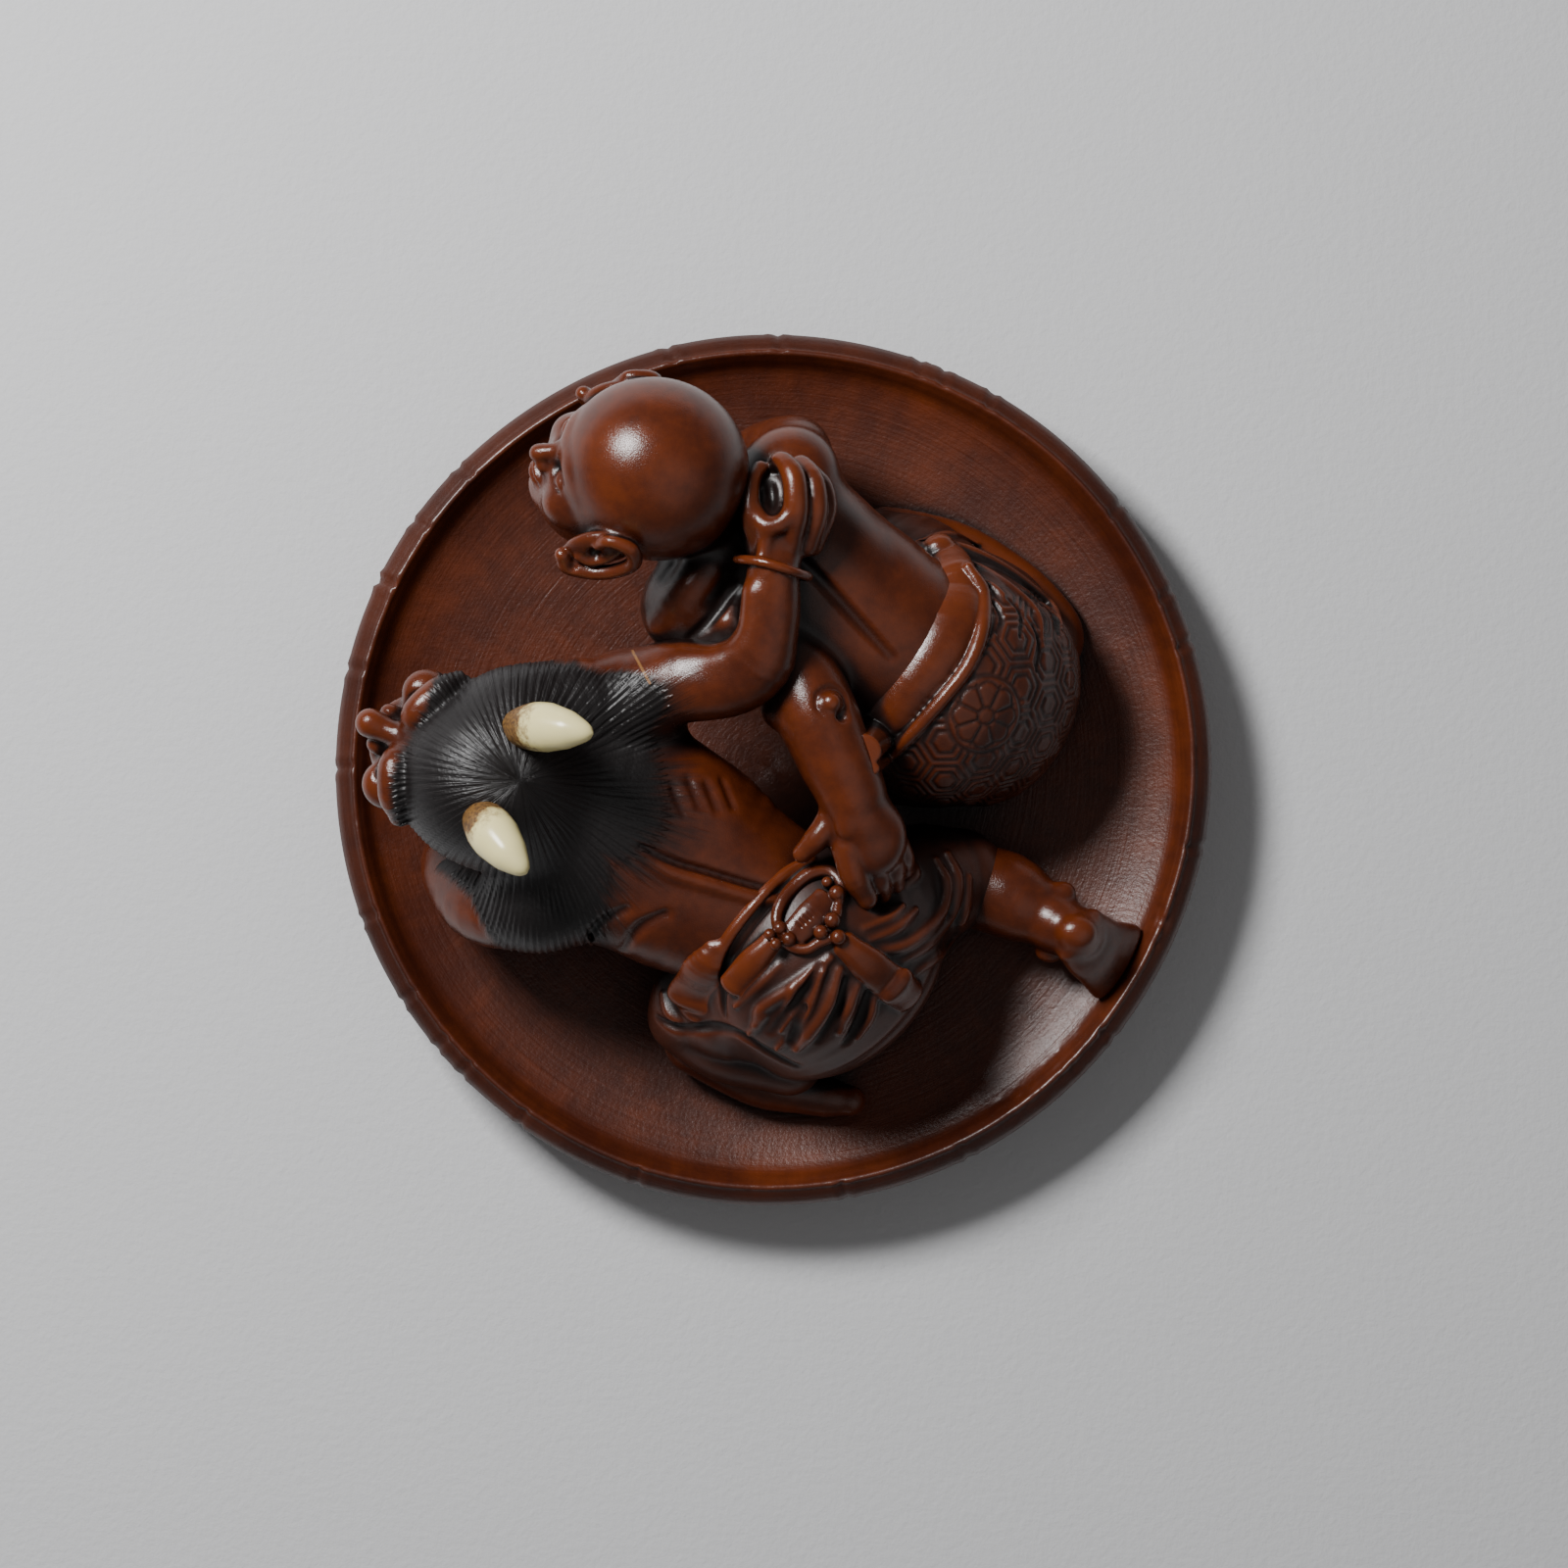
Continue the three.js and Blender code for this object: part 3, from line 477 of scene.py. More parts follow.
def wrestlerHem(block):
    for path, size in (
        ([(6.9, 10.9), (8.9, 11.4), (10.9, 10.8), (13.0, 9.5), (14.4, 8.1), (14.5, 6.3)], 0.24),
        ([(8.2, 10.7), (10.2, 10.4), (12.0, 9.3), (13.4, 7.9), (13.7, 6.2)], 0.2),
        ([(9.8, 9.9), (11.2, 9.2), (12.4, 8.0)], 0.2),
        ([(7.3, 11.6), (9.0, 12.0), (10.6, 11.5)], 0.2),
    ):
        stroke(block, path, [size * 0.4] + [size] * (len(path) - 2) + [size * 0.4], blend=0.15, paint="cloth")
    stroke(
        block, [(12.6, 9.05), (13.5, 8.6), (14.4, 7.8), (14.5, 7.0)], [0.16, 0.34, 0.36, 0.2], carve=True,
        blend=0.15
    )
    for path in (
        [(11.2, 8.4), (11.6, 7.6), (11.3, 6.9)], [(11.9, 8.7), (12.6, 7.8), (12.5, 6.7)],
        [(10.9, 9.4), (10.6, 8.4)], [(13.2, 7.3), (13.5, 6.2), (13.3, 5.0)]
    ):
        stroke(block, path, [0.12, 0.16, 0.1][: len(path)], carve=True, blend=0.12)


def wrestlerSash(block, body):
    # the sash lies over the hips, with a narrow cord along its outer side
    band = [(8.4, 11.2), (8.9, 10.2), (9.25, 9.0), (9.0, 7.4), (8.1, 5.6), (6.7, 3.7), (5.2, 1.8), (4.4, 0.6)]
    wide = [0.9, 1.25, 1.35, 1.4, 1.35, 1.2, 1.0, 0.8]
    stroke(block, band, [(w, 0.75) for w in wide], lift=-0.25, blend=0.1, paint="polish", on=(body,))
    cord = [
        (9.9, 10.2), (10.6, 8.9), (10.55, 7.1), (9.9, 5.3), (8.7, 3.7), (7.0, 1.8), (5.6, 0.5), (4.8, -0.2)
    ]
    stroke(
        block, cord, [0.3, 0.42, 0.42, 0.4, 0.38, 0.38, 0.36, 0.3], lift=-0.02, blend=0.08, paint="polish",
        on=(body,)
    )


patterns = {
    "centre": (8.6, 3.8, 4.6),  # the cloth's curve is taken as round about this place
    "roundel": (10.7, 2.7, 12.4),
    "roundelRadius": 1.75,
    "petals": 8,
    "cell": 2.15,
    "line": 0.36,  # from one cut line of a cell to the next
    "depth": 0.09,
}


def flowerCloth(block):
    # tortoise-shell cells with rings inside them, about a roundel of petals, cut into the cloth
    window = tuple(slice(0, n) for n in block.shape)
    x, y, z = [axis - at for axis, at in zip(block.places(window), patterns["centre"])]
    far = np.sqrt(x * x + y * y + z * z) + 1e-6
    out = unitVector(np.array(patterns["roundel"]) - patterns["centre"])
    right = unitVector(np.cross((-0.43, -0.9, 0), out))
    above = np.cross(out, right)
    along = lambda axis: (x * axis[0] + y * axis[1] + z * axis[2]) / far
    radius = np.linalg.norm(np.array(patterns["roundel"]) - patterns["centre"]) * 0.9
    bend = np.arccos(np.clip(along(out), -1, 1))
    flat = np.sqrt(along(right) ** 2 + along(above) ** 2) + 1e-6
    u, v = [bend * radius * along(axis) / flat for axis in (right, above)]
    tall = patterns["cell"] * math.sqrt(3)
    inner = np.full(u.shape, 9.0, np.float32)
    for shift in (0, 0.5):
        a = np.abs((u / patterns["cell"] + shift + 0.5) % 1 - 0.5) * patterns["cell"]
        b = np.abs((v / tall + shift + 0.5) % 1 - 0.5) * tall
        inner = np.minimum(inner, np.maximum(a, a / 2 + b * math.sqrt(3) / 2))
    rings = 0.5 - 0.5 * np.cos(2 * math.pi * (patterns["cell"] / 2 - inner) / patterns["line"])
    rings *= inner > patterns["cell"] / 2 - 2.05 * patterns["line"]
    r = bend * radius
    turn = np.arctan2(v, u)
    petal = np.abs(np.sin(turn * patterns["petals"] / 2))
    spokes = np.clip(1.1 - petal * (0.4 + r) * 1.7, 0, 1)
    tips = np.clip(1 - np.abs(r - patterns["roundelRadius"] * (0.72 + 0.14 * petal)) / 0.12, 0, 1)
    heart = np.clip(1 - np.abs(r - 0.38) / 0.1, 0, 1)
    flower = np.maximum.reduce([spokes * (r > 0.35) * (r < patterns["roundelRadius"] * 0.84), tips, heart])
    border = np.clip(1.2 - np.abs(r - patterns["roundelRadius"]) / 0.14, 0, 1)
    cut = np.where(r < patterns["roundelRadius"], flower, rings)
    cut = np.maximum(cut, border)
    cloth = block.paint["cloth"]
    near = np.clip(1.5 - np.abs(block.skin) / 0.5, 0, 1) * np.clip(
        (z + patterns["centre"][2] - 5.2) / 1.2, 0, 1
    )
    fade = np.clip((9.6 - (y + patterns["centre"][1])) / 1.0, 0, 1)
    block.skin += patterns["depth"] * cut * cloth * near * fade


# the demon

demon = {
    "across": (0.48, 0.87, 0.05),
    "hipsAcross": (0.71, 0.7, 0),
    "head": {"at": (-14.3, -0.3, 14.3), "forward": (-0.84, 0.37, 0.39), "up": (0.36, -0.16, 0.92)},
    "skull": 4.7,
}


def demonBody(block):
    blade = dict(forward=(0.8, -0.6, -0.1))
    point, axes = headPlaces(demon["head"])
    skull = demon["skull"]
    part = lambda at, radii: Ball(point(at), radii, **axes)
    block.add(part((-0.1, 0, 0), (skull, skull * 0.98, skull)), 0.8)
    block.add(part((1.4, 0, -2.3), (3.6, 3.7, 3.7)), 0.8)
    block.add(part((2.4, 0, -4.4), (2.2, 2.6, 1.5)), 0.6)
    block.add(part((3.5, 0, -4.9), (1.1, 1.2, 0.8)), 0.5)
    back = Sweep(
        [
            (-12.6, -1.0, 12.6), (-10.4, -1.8, 12.2), (-8.0, -2.9, 11.4), (-5.0, -4.5, 10.6),
            (-1.8, -6.6, 9.9), (1.0, -8.6, 9.0)
        ],
        [(4.2, 3.6), (5.2, 3.6), (6.0, 3.7), (5.6, 3.6), (4.9, 3.5), (4.6, 3.5)],
        (0.6, 0.8, 0.03),
    )
    block.add(back, 1.6)
    block.add(Ball((-7.0, 3.2, 12.4), (2.8, 2.5, 2.3)), 1.0)
    block.add(Ball((-11.6, -6.4, 11.4), (2.9, 2.7, 2.4)), 1.2)
    block.add(Ball((-4.2, -1.6, 12.0), (3.2, 2.3, 1.9), **blade), 0.9)
    block.add(Ball((-6.8, -6.4, 11.5), (3.0, 2.5, 1.9), **blade), 0.9)
    block.add(Ball((-5.0, -4.6, 7.2), (4.6, 4.6, 2.8), **blade), 1.0)
    block.add(Sweep([(-12.8, 2.6, 14.6), (-10.2, 3.3, 13.9), (-7.6, 3.6, 13.4)], [2.6, 2.3, 1.9]), 1.2)
    # right arm, over the wrestler's back
    arm = [
        (-7.6, 3.4, 12.8), (-4.8, 4.4, 14.2), (-2.4, 4.5, 15.1), (-0.8, 5.3, 15.8), (-0.1, 7.2, 16.5),
        (0.05, 9.9, 16.9)
    ]
    block.add(Sweep(arm, [2.5, 2.15, 1.95, 1.8, 1.45, 1.35], demon["across"]), 0.6)
    block.add(
        Sweep(
            [(-4.6, 5.4, 15.3), (-2.6, 5.5, 16.3), (-1.2, 6.5, 17.0), (-0.95, 8.8, 17.4)],
            [0.5, 0.65, 0.6, 0.5]
        ), 0.7
    )
    # left arm, down to the floor
    block.add(
        Sweep(
            [(-11.8, -6.9, 11.4), (-14.5, -7.0, 9.6), (-16.2, -5.4, 7.0), (-16.6, -2.8, 4.6)],
            [2.3, 1.95, 1.7, 1.2]
        ), 0.5
    )
    # right leg, stretched behind him
    block.add(
        Sweep(
            [(9.4, -5.7, 5.2), (11.9, -6.4, 5.6), (13.9, -7.5, 6.2), (15.5, -8.4, 7.1)],
            [2.2, 2.2, 1.6, 1.35]
        ), 0.5
    )
    block.add(
        Sweep(
            [(15.6, -8.4, 7.4), (16.5, -9.2, 6.2), (17.7, -9.9, 4.4)],
            [(1.6, 0.8), (1.8, 0.75), (2.2, 0.6)], (0.5, 0.86, 0), end=0.45
        ), 0.25
    )
    block.add(Ball((14.8, -6.3, 6.6), (0.7, 0.6, 0.55)), 0.35)  # ankle
    block.add(Ball((14.2, -9.3, 5.6), (0.8, 0.6, 0.6)), 0.4)
    block.add(Ball((15.5, -8.3, 8.1), (0.95, 0.8, 0.6)), 0.35)  # heel
    # left leg, along the floor under the skirt
    block.add(
        Sweep(
            [(-4.0, -14.0, 4.8), (-0.8, -15.8, 4.2), (2.2, -16.7, 4.0), (4.0, -17.0, 4.2)],
            [1.6, 1.5, 1.1, 0.8]
        ), 0.3
    )


def demonFace(block):
    point, axes = headPlaces(demon["head"])
    part = lambda at, radii: Ball(point(at), radii, **axes)
    line = lambda spots, sizes: Sweep([point(p) for p in spots], sizes)
    for side in (1, -1):
        # brow
        block.add(
            line(
                [
                    (4.3, side * 0.5, -1.1), (4.7, side * 1.5, -0.3), (4.2, side * 2.8, -0.2),
                    (3.2, side * 3.7, -0.8)
                ], [0.6, 0.8, 0.75, 0.5]
            ), 0.35
        )
        block.add(part((3.7, side * 2.5, -2.7), (1.35, 1.25, 1.0)), 0.4)  # cheek
        block.cut(part((4.6, side * 1.6, -1.7), (0.7, 0.85, 0.6)), 0.3)
        block.add(part((4.0, side * 1.6, -1.75), (0.8, 0.75, 0.62)), 0.1)  # eye
        block.cut(part((4.8, side * 1.6, -1.8), (0.3, 0.2, 0.2)), 0.08)
        block.add(part((5.1, side * 0.85, -2.6), (0.6, 0.5, 0.5)), 0.2)
        block.cut(part((5.45, side * 0.7, -3.0), (0.25, 0.2, 0.2)), 0.1)
        # a wrinkle above the brow
        block.add(line([(3.9, side * 1.0, -0.1), (3.7, side * 2.4, 0.5)], [0.16, 0.2]), 0.2)
    block.add(line([(4.5, 0, -1.1), (5.3, 0, -1.8), (6.1, 0, -2.2)], [0.55, 0.65, 0.75]), 0.3)
    block.add(
        line(
            [(3.3, -2.3, -4.2), (4.5, -1.2, -3.5), (5.0, 0, -3.5), (4.5, 1.2, -3.5), (3.3, 2.3, -4.2)],
            [0.35, 0.5, 0.5, 0.5, 0.35]
        ), 0.25
    )
    block.add(line([(3.3, -2.1, -4.5), (4.5, 0, -4.4), (3.3, 2.1, -4.5)], [0.35, 0.5, 0.35]), 0.25)
    block.cut(line([(3.6, -2.2, -4.3), (5.1, 0, -3.95), (3.6, 2.2, -4.3)], [0.1, 0.15, 0.1]), 0.15)


def demonMuscles(block):
    spine = [(-6.6, -3.9), (-5.2, -4.65), (-3.4, -5.2), (-1.4, -5.8), (0.1, -6.1)]
    stroke(block, spine, [0.1, 0.22, 0.24, 0.24, 0.14], carve=True, blend=0.3)
    stroke(block, [(x + 0.1, y - 0.55) for x, y in spine], [0.15, 0.3, 0.32, 0.3, 0.2], lift=-0.1, blend=0.4)
    for x, y in ((-5.0, -0.9), (-4.2, -0.55), (-3.3, -0.75), (-2.5, -0.6)):  # ribs
        stroke(block, [(x, y), (x + 0.5, y - 1.3)], [0.1, 0.06], carve=True, blend=0.35)
    for x, y in ((-9.6, -9.0), (-7.6, -9.2)):
        stroke(
            block, [(x, y), (x + 0.9, y + 1.2), (x + 2.2, y + 1.9)], [0.1, 0.24, 0.14], carve=True,
            blend=0.4
        )


def demonHand(block):
    flatHand(block, (-16.5, -1.6, 3.8), (-0.3, 1, 0.1), -1)
    # the right hand, shut over the wrestler's shoulder
    block.add(Ball((0.2, 11.9, 16.6), (1.9, 1.75, 1.45), forward=(0.05, 1, 0)), 0.6)
    block.add(Ball((0.4, 13.4, 16.2), (1.8, 1.9, 1.2), forward=(0.05, 1, 0)), 0.4)
    for knuckles, girth in (
        (
            [
                (0.9, 11.3, 17.3), (1.15, 12.9, 18.0), (1.05, 14.5, 18.0), (0.5, 15.35, 17.3),
                (0.0, 15.1, 16.5)
            ], (0.6, 0.66, 0.62, 0.52, 0.42)
        ),
        (
            [
                (1.7, 11.2, 16.7), (2.15, 12.8, 17.3), (2.05, 14.3, 17.2), (1.5, 15.2, 16.3),
                (1.0, 15.1, 15.5)
            ], (0.6, 0.62, 0.58, 0.5, 0.42)
        ),
        (
            [(2.0, 11.2, 16.0), (2.65, 12.9, 16.4), (2.55, 14.1, 16.2), (2.0, 14.9, 15.4)],
            (0.55, 0.56, 0.5, 0.42)
        ),
        (
            [(-0.7, 11.2, 17.1), (-1.1, 12.7, 17.7), (-1.05, 14.2, 17.5), (-0.6, 15.0, 17.0)],
            (0.5, 0.56, 0.5, 0.42)
        ),
    ):
        block.add(Sweep(knuckles, girth), 0.12)
    block.add(
        Sweep(
            [(-0.95, 12.9, 17.7), (-0.35, 12.15, 18.0), (0.5, 12.3, 18.1), (1.1, 13.1, 18.0)],
            [0.5, 0.5, 0.5, 0.5]
        ), 0.15
    )
    block.add(Sweep([(-0.2, 12.1, 17.9), (-0.5, 10.6, 17.9)], [0.45, 0.3]), 0.35)
    block.cut(Ball((-0.1, 14.0, 18.3), (1.25, 0.5, 1.3), forward=(-0.1, 1, 0)), 0.2)
    ring = [
        (-1.75, 10.5, 16.9), (-1.3, 10.45, 17.8), (-0.4, 10.3, 18.35), (0.6, 10.0, 18.35),
        (1.35, 9.75, 17.8), (1.8, 9.6, 16.9), (1.4, 9.7, 15.9), (0.0, 10.1, 15.3), (-1.4, 10.45, 16.0),
        (-1.75, 10.5, 16.9)
    ]
    block.add(Sweep(ring, [0.25] * len(ring)), 0.04)  # bangle


def demonSkirt(block):
    cloth = Sweep(
        [(0.4, -7.9, 9.4), (1.9, -9.2, 9.4), (3.5, -10.4, 7.9), (4.4, -11.1, 5.6)],
        [(4.6, 3.7), (6.1, 4.8), (6.2, 4.5), (4.8, 3.2)], demon["hipsAcross"]
    )
    block.add(cloth, 0.4, "cloth")
    block.add(Sweep([(4.6, -7.2, 7.8), (7.4, -5.9, 6.6), (9.4, -5.6, 5.6)], [3.6, 3.1, 2.6]), 0.8, "cloth")
    block.add(
        Sweep([(0.4, -10.6, 7.8), (-2.0, -11.8, 7.4), (-4.0, -12.0, 7.2)], [3.6, 3.1, 2.3]), 0.8, "cloth"
    )
    block.add(Ball((2.5, -9.6, 5.0), (5.0, 4.6, 2.8), forward=(0.85, -0.5, 0)), 0.8, "cloth")
    block.add(
        Sweep([(-4.4, -12.6, 6.4), (-2.4, -14.0, 5.9), (0.8, -14.9, 5.6)], [2.0, 2.0, 1.8]), 0.3, "cloth"
    )
    block.cut(Ball((5.9, -6.4, 13.2), (1.3, 0.9, 1.5)), 0.4)  # the dark place that the fingers reach into


def skirtFolds(block):
    # folds spread from under the knot, and run round the hem on the right
    folds = (
        ([(2.9, -9.5), (2.0, -10.3), (1.0, -11.0), (-0.5, -12.0), (-0.9, -12.9)], 0.34),
        ([(1.0, -11.1), (0.8, -12.2), (0.4, -13.2)], 0.3),
        ([(3.35, -10.1), (2.8, -11.8), (1.9, -13.2), (1.2, -14.2)], 0.4),
        ([(4.3, -10.9), (3.8, -12.1), (3.4, -13.3)], 0.34),
        ([(2.5, -10.2), (1.7, -12.2), (0.2, -14.2)], 0.26),
        ([(5.2, -11.4), (4.9, -12.5), (4.3, -13.6)], 0.26),
        ([(0.3, -9.9), (-0.7, -10.9), (-1.9, -12.0)], 0.26),
        ([(-0.4, -12.4), (-1.2, -13.4)], 0.26),
        ([(5.3, -9.2), (6.9, -8.8), (8.4, -7.5), (8.8, -5.8), (8.3, -4.6)], 0.34),
        ([(6.5, -9.7), (7.9, -8.8), (9.1, -7.3), (9.4, -5.6), (8.9, -4.3)], 0.28),
        ([(7.2, -10.3), (8.6, -9.2), (9.7, -7.4), (10.0, -5.5)], 0.28),
        ([(4.9, -8.6), (6.3, -8.0), (7.3, -7.1)], 0.26),
        ([(4.6, -8.0), (5.9, -7.5), (6.6, -6.9)], 0.2),
        ([(6.6, -5.9), (7.2, -5.3), (7.0, -4.6)], 0.28),
        ([(-5.6, -11.4), (-5.3, -12.4), (-4.3, -13.2)], 0.2),
        ([(-4.9, -11.2), (-4.5, -12.2), (-3.6, -13.0)], 0.2),
    )
    for path, size in folds:
        stroke(
            block, path, [size * 0.5] + [size] * (len(path) - 2) + [size * 0.4], lift=0.0, blend=0.28,
            paint="cloth"
        )
    for path in (
        [(3.7, -10.6), (3.2, -12.1), (2.3, -13.8)], [(2.4, -9.9), (1.3, -11.6), (-0.1, -13.4)],
        [(4.8, -11.3), (4.4, -12.6), (3.7, -13.9)], [(1.6, -12.0), (0.9, -13.8)]
    ):
        stroke(block, path, [0.16, 0.26, 0.16][: len(path)], carve=True, blend=0.25)
    stroke(
        block, [(-5.9, -12.7), (-4.6, -13.2), (-3.0, -13.1), (-1.7, -13.4), (-0.3, -14.3), (1.2, -15.1)],
        [0.15, 0.25, 0.25, 0.25, 0.25, 0.15], carve=True, blend=0.3
    )


def demonSash(block, body):
    on = (body,)
    # the smooth fold of cloth over his left hip, and the waist band it comes from
    stroke(
        block, [(1.9, -4.6), (0.6, -5.3), (-0.6, -6.5), (-2.0, -8.2), (-2.9, -9.8)],
        [0.3, 0.34, 0.36, 0.4, 0.5], lift=-0.1, blend=0.15, paint="polish", on=on
    )
    stroke(
        block, [(-2.9, -9.0), (-3.4, -10.3), (-3.7, -11.6)], [(0.7, 0.6), (1.3, 0.7), (1.7, 0.75)],
        lift=-0.35, blend=0.3, paint="polish", on=on
    )
    stroke(
        block, [(2.2, -5.3), (0.9, -5.8), (-0.3, -6.9), (-1.7, -8.7), (-2.4, -10.4), (-2.5, -12.5)],
        [0.14, 0.2, 0.24, 0.24, 0.24, 0.16], carve=True, blend=0.15
    )
    # band ends either side of the knot
    stroke(
        block, [(-0.1, -8.75), (-1.1, -9.85), (-2.0, -10.9)], [(0.6, 0.5), (0.78, 0.55), (0.75, 0.45)],
        lift=0.0, blend=0.12, paint="polish"
    )
    stroke(
        block, [(3.6, -8.8), (5.0, -10.0), (6.2, -11.0)], [(0.65, 0.45), (0.9, 0.5), (0.95, 0.45)],
        lift=0.05, blend=0.12, paint="polish"
    )
    stroke(block, [(6.2, -10.9), (6.9, -11.5)], [(1.05, 0.5), (0.9, 0.5)], lift=-0.15, blend=0.2)


def sashKnot(block, skirt):
    # a ribbed plaque in a loop of rope, with beads at its corners
    lay = lambda x, y, lift: (x, y, skirt.top(x, y) + lift)
    block.add(
        Sweep(
            [lay(1.1, -8.3, 0.1), lay(2.0, -7.4, 0.15), lay(2.75, -6.55, 0.1)],
            [(0.75, 0.35), (0.85, 0.4), (0.75, 0.35)], (0.7, -0.7, 0), end=0.3
        ), 0.05
    )
    loop = [
        (0.35, -8.3), (0.2, -7.5), (0.45, -6.7), (1.1, -5.9), (1.95, -5.25), (2.9, -5.2), (3.45, -5.8),
        (3.3, -6.6)
    ]
    block.add(Sweep([lay(x, y, 0.28) for x, y in loop], [0.28, 0.3, 0.34, 0.36, 0.38, 0.36, 0.34, 0.3]), 0.05)
    foot = [(0.6, -8.7), (1.15, -9.0), (1.75, -9.05), (2.3, -8.75), (2.9, -8.5)]
    block.add(Sweep([lay(x, y, 0.2) for x, y in foot], [0.3, 0.28, 0.28, 0.28, 0.3]), 0.05)
    block.add(
        Sweep([lay(3.3, -6.6, 0.2), lay(3.2, -7.3, 0.25), lay(3.0, -7.8, 0.25)], [0.28, 0.3, 0.28]), 0.05
    )
    for x, y, size in (
        (-0.15, -8.3, 0.3), (0.35, -8.0, 0.38), (0.82, -8.55, 0.38), (3.0, -7.6, 0.42), (2.42, -8.2, 0.38),
        (3.23, -6.25, 0.42), (3.3, -8.45, 0.4), (0.15, -8.8, 0.32), (2.75, -5.7, 0.3)
    ):
        block.add(Ball(lay(x, y, 0.42), (size, size, size)), 0.04)
    for i in range(7):
        share = (i - 3) / 3.3
        x, y = 1.55 + share * 0.62 + 0.1, -7.05 + share * 0.6
        block.cut(
            Sweep(
                [
                    (x - 0.45, y + 0.4, lay(2.0, -7.4, 0.62)[2]),
                    (x + 0.35, y - 0.35, lay(2.0, -7.4, 0.58)[2])
                ], [0.08, 0.08]
            ), 0.05
        )


hair = {
    "whorl": (-12.63, -0.6),
    # how far the dark stain runs from the whorl, round it from the +x side
    "reach": [
        (-180, 6.5), (-161, 6.7), (-145, 6.6), (-129, 6.2), (-114, 6.4), (-98, 8.6), (-90, 9.2), (-72, 9.3),
        (-62, 9.2), (-52, 7.4), (-43, 6.6), (-32, 7.4),
        (-18, 8.0), (-6, 7.7), (7, 7.4), (19, 7.2), (29, 8.9), (38, 8.6), (54, 6.8), (83, 6.2), (105, 6.7),
        (123, 7.2), (143, 6.0), (160, 6.0), (180, 6.5),
    ],
    "strand": 0.3,
    "depth": 0.04,
    "thickness": 0.045,
}


def hairReach(x, y):
    # how far inside the hair's edge a place is, and the strands' wave there from -1 to 1
    dx, dy = x - hair["whorl"][0], y - hair["whorl"][1]
    r = np.sqrt(dx * dx + dy * dy) + 1e-6
    turn = np.arctan2(dy, dx)
    angles, lengths = zip(*hair["reach"])
    inside = np.interp(np.degrees(turn), angles, lengths) - r
    sway = turn + 0.035 * np.sin(r * 0.45 + 2 * turn) + 0.003 * np.sin(r * 2.1 + 9 * turn)
    octave = np.log2(np.maximum(r, 0.35) * 2 * math.pi / hair["strand"] / 9)
    wave = 0
    for level in range(7):
        weight = np.clip(1.15 - np.abs(octave - level), 0, 1)
        wave = wave + weight * np.cos(9 * 2**level * sway + level * 1.7)
    return inside, np.clip(wave, -1, 1)


def demonHair(block, body):
    # a cap that stands a little above the head and sinks under the skin past its edge
    x, y, z = np.meshgrid(*block.axes, indexing="ij")
    count = x.size
    places = np.stack([x.reshape(count), y.reshape(count), z.reshape(count)], axis=1)
    skin = np.empty(count, np.float32)
    for start in range(0, count, 1000000):
        skin[start : start + 1000000] = body.sample(body.skin, places[start : start + 1000000])
    inside, wave = hairReach(x[:, :, 0], y[:, :, 0])
    soft = 0.5 + 0.5 * np.clip((inside + 0.25 * wave) / 0.5, -1, 1)
    lift = (hair["thickness"] + hair["depth"] * wave) * soft - 0.16 * (1 - soft)
    block.skin = np.maximum(
        skin.reshape(x.shape) - lift[:, :, None], -(inside + 0.9)[:, :, None]
    ).astype(np.float32)


started = time.time()


def report(words):
    print(words, "after", round(time.time() - started), "s")


body = Clay((-12.5, -8.5, 1.2), (9.5, 21, 23), 0.24)
wrestlerHead(body)
wrestlerBody(body)
body.refine()
body.smooth(1)
report("wrestler roughed out")
wrestlerFace(body)
wrestlerMuscles(body)
wrestlerHands(body)
report("wrestler pressed")

robe = Clay((0.5, -4.5, 1.2), (17.5, 14.5, 15.5), 0.17)
wrestlerRobe(robe)
robe.refine()
robe.smooth(1)
flowerCloth(robe)
report("robe patterned")
wrestlerHem(robe)
wrestlerSash(robe, body)
report("robe pressed")

oni = Clay((-22, -19, 1.2), (20.5, 17, 20.5), 0.26)
demonBody(oni)
oni.refine()
oni.smooth(1)
report("demon roughed out")
demonFace(oni)
demonHand(oni)
demonMuscles(oni)
report("demon pressed")

skirt = Clay((-8, -17.5, 1.2), (13, -2, 16), 0.2)
demonSkirt(skirt)
skirt.refine()
skirt.smooth(1)
skirtFolds(skirt)
demonSash(skirt, oni)
report("skirt pressed")

knot = Clay((-1.5, -10, 11), (5, -4, 17), 0.06)
sashKnot(knot, skirt)

cap = Clay((-21.5, -11.5, 9.5), (-2.5, 7.5, 20.5), 0.095)
demonHair(cap, oni)
report("hair combed")

blocks = {"wrestler": body, "robe": robe, "demon": oni, "skirt": skirt, "knot": knot, "hair": cap}


# the hat

hat = {
    "radius": 22.5,
    "height": 5.2,
    "floor": 1.9,
    "footRadius": 6,
    "band": 0.95,  # the bound edge outside the lip
    "steps": 540,
    "ribs": 60,  # plaiting underneath
    "row": 1.3,
    "ticks": [145, 154, 166, -148, -141, -126, 70, 66, 24],
    "worn": (-58, -38),  # where the lip is chipped
    "notch": -21,
    "cordHoles": [(8.6, 7.4, 1.5), (11.4, 2.0, 1.1)],
    "cordDepth": 3.6,
}


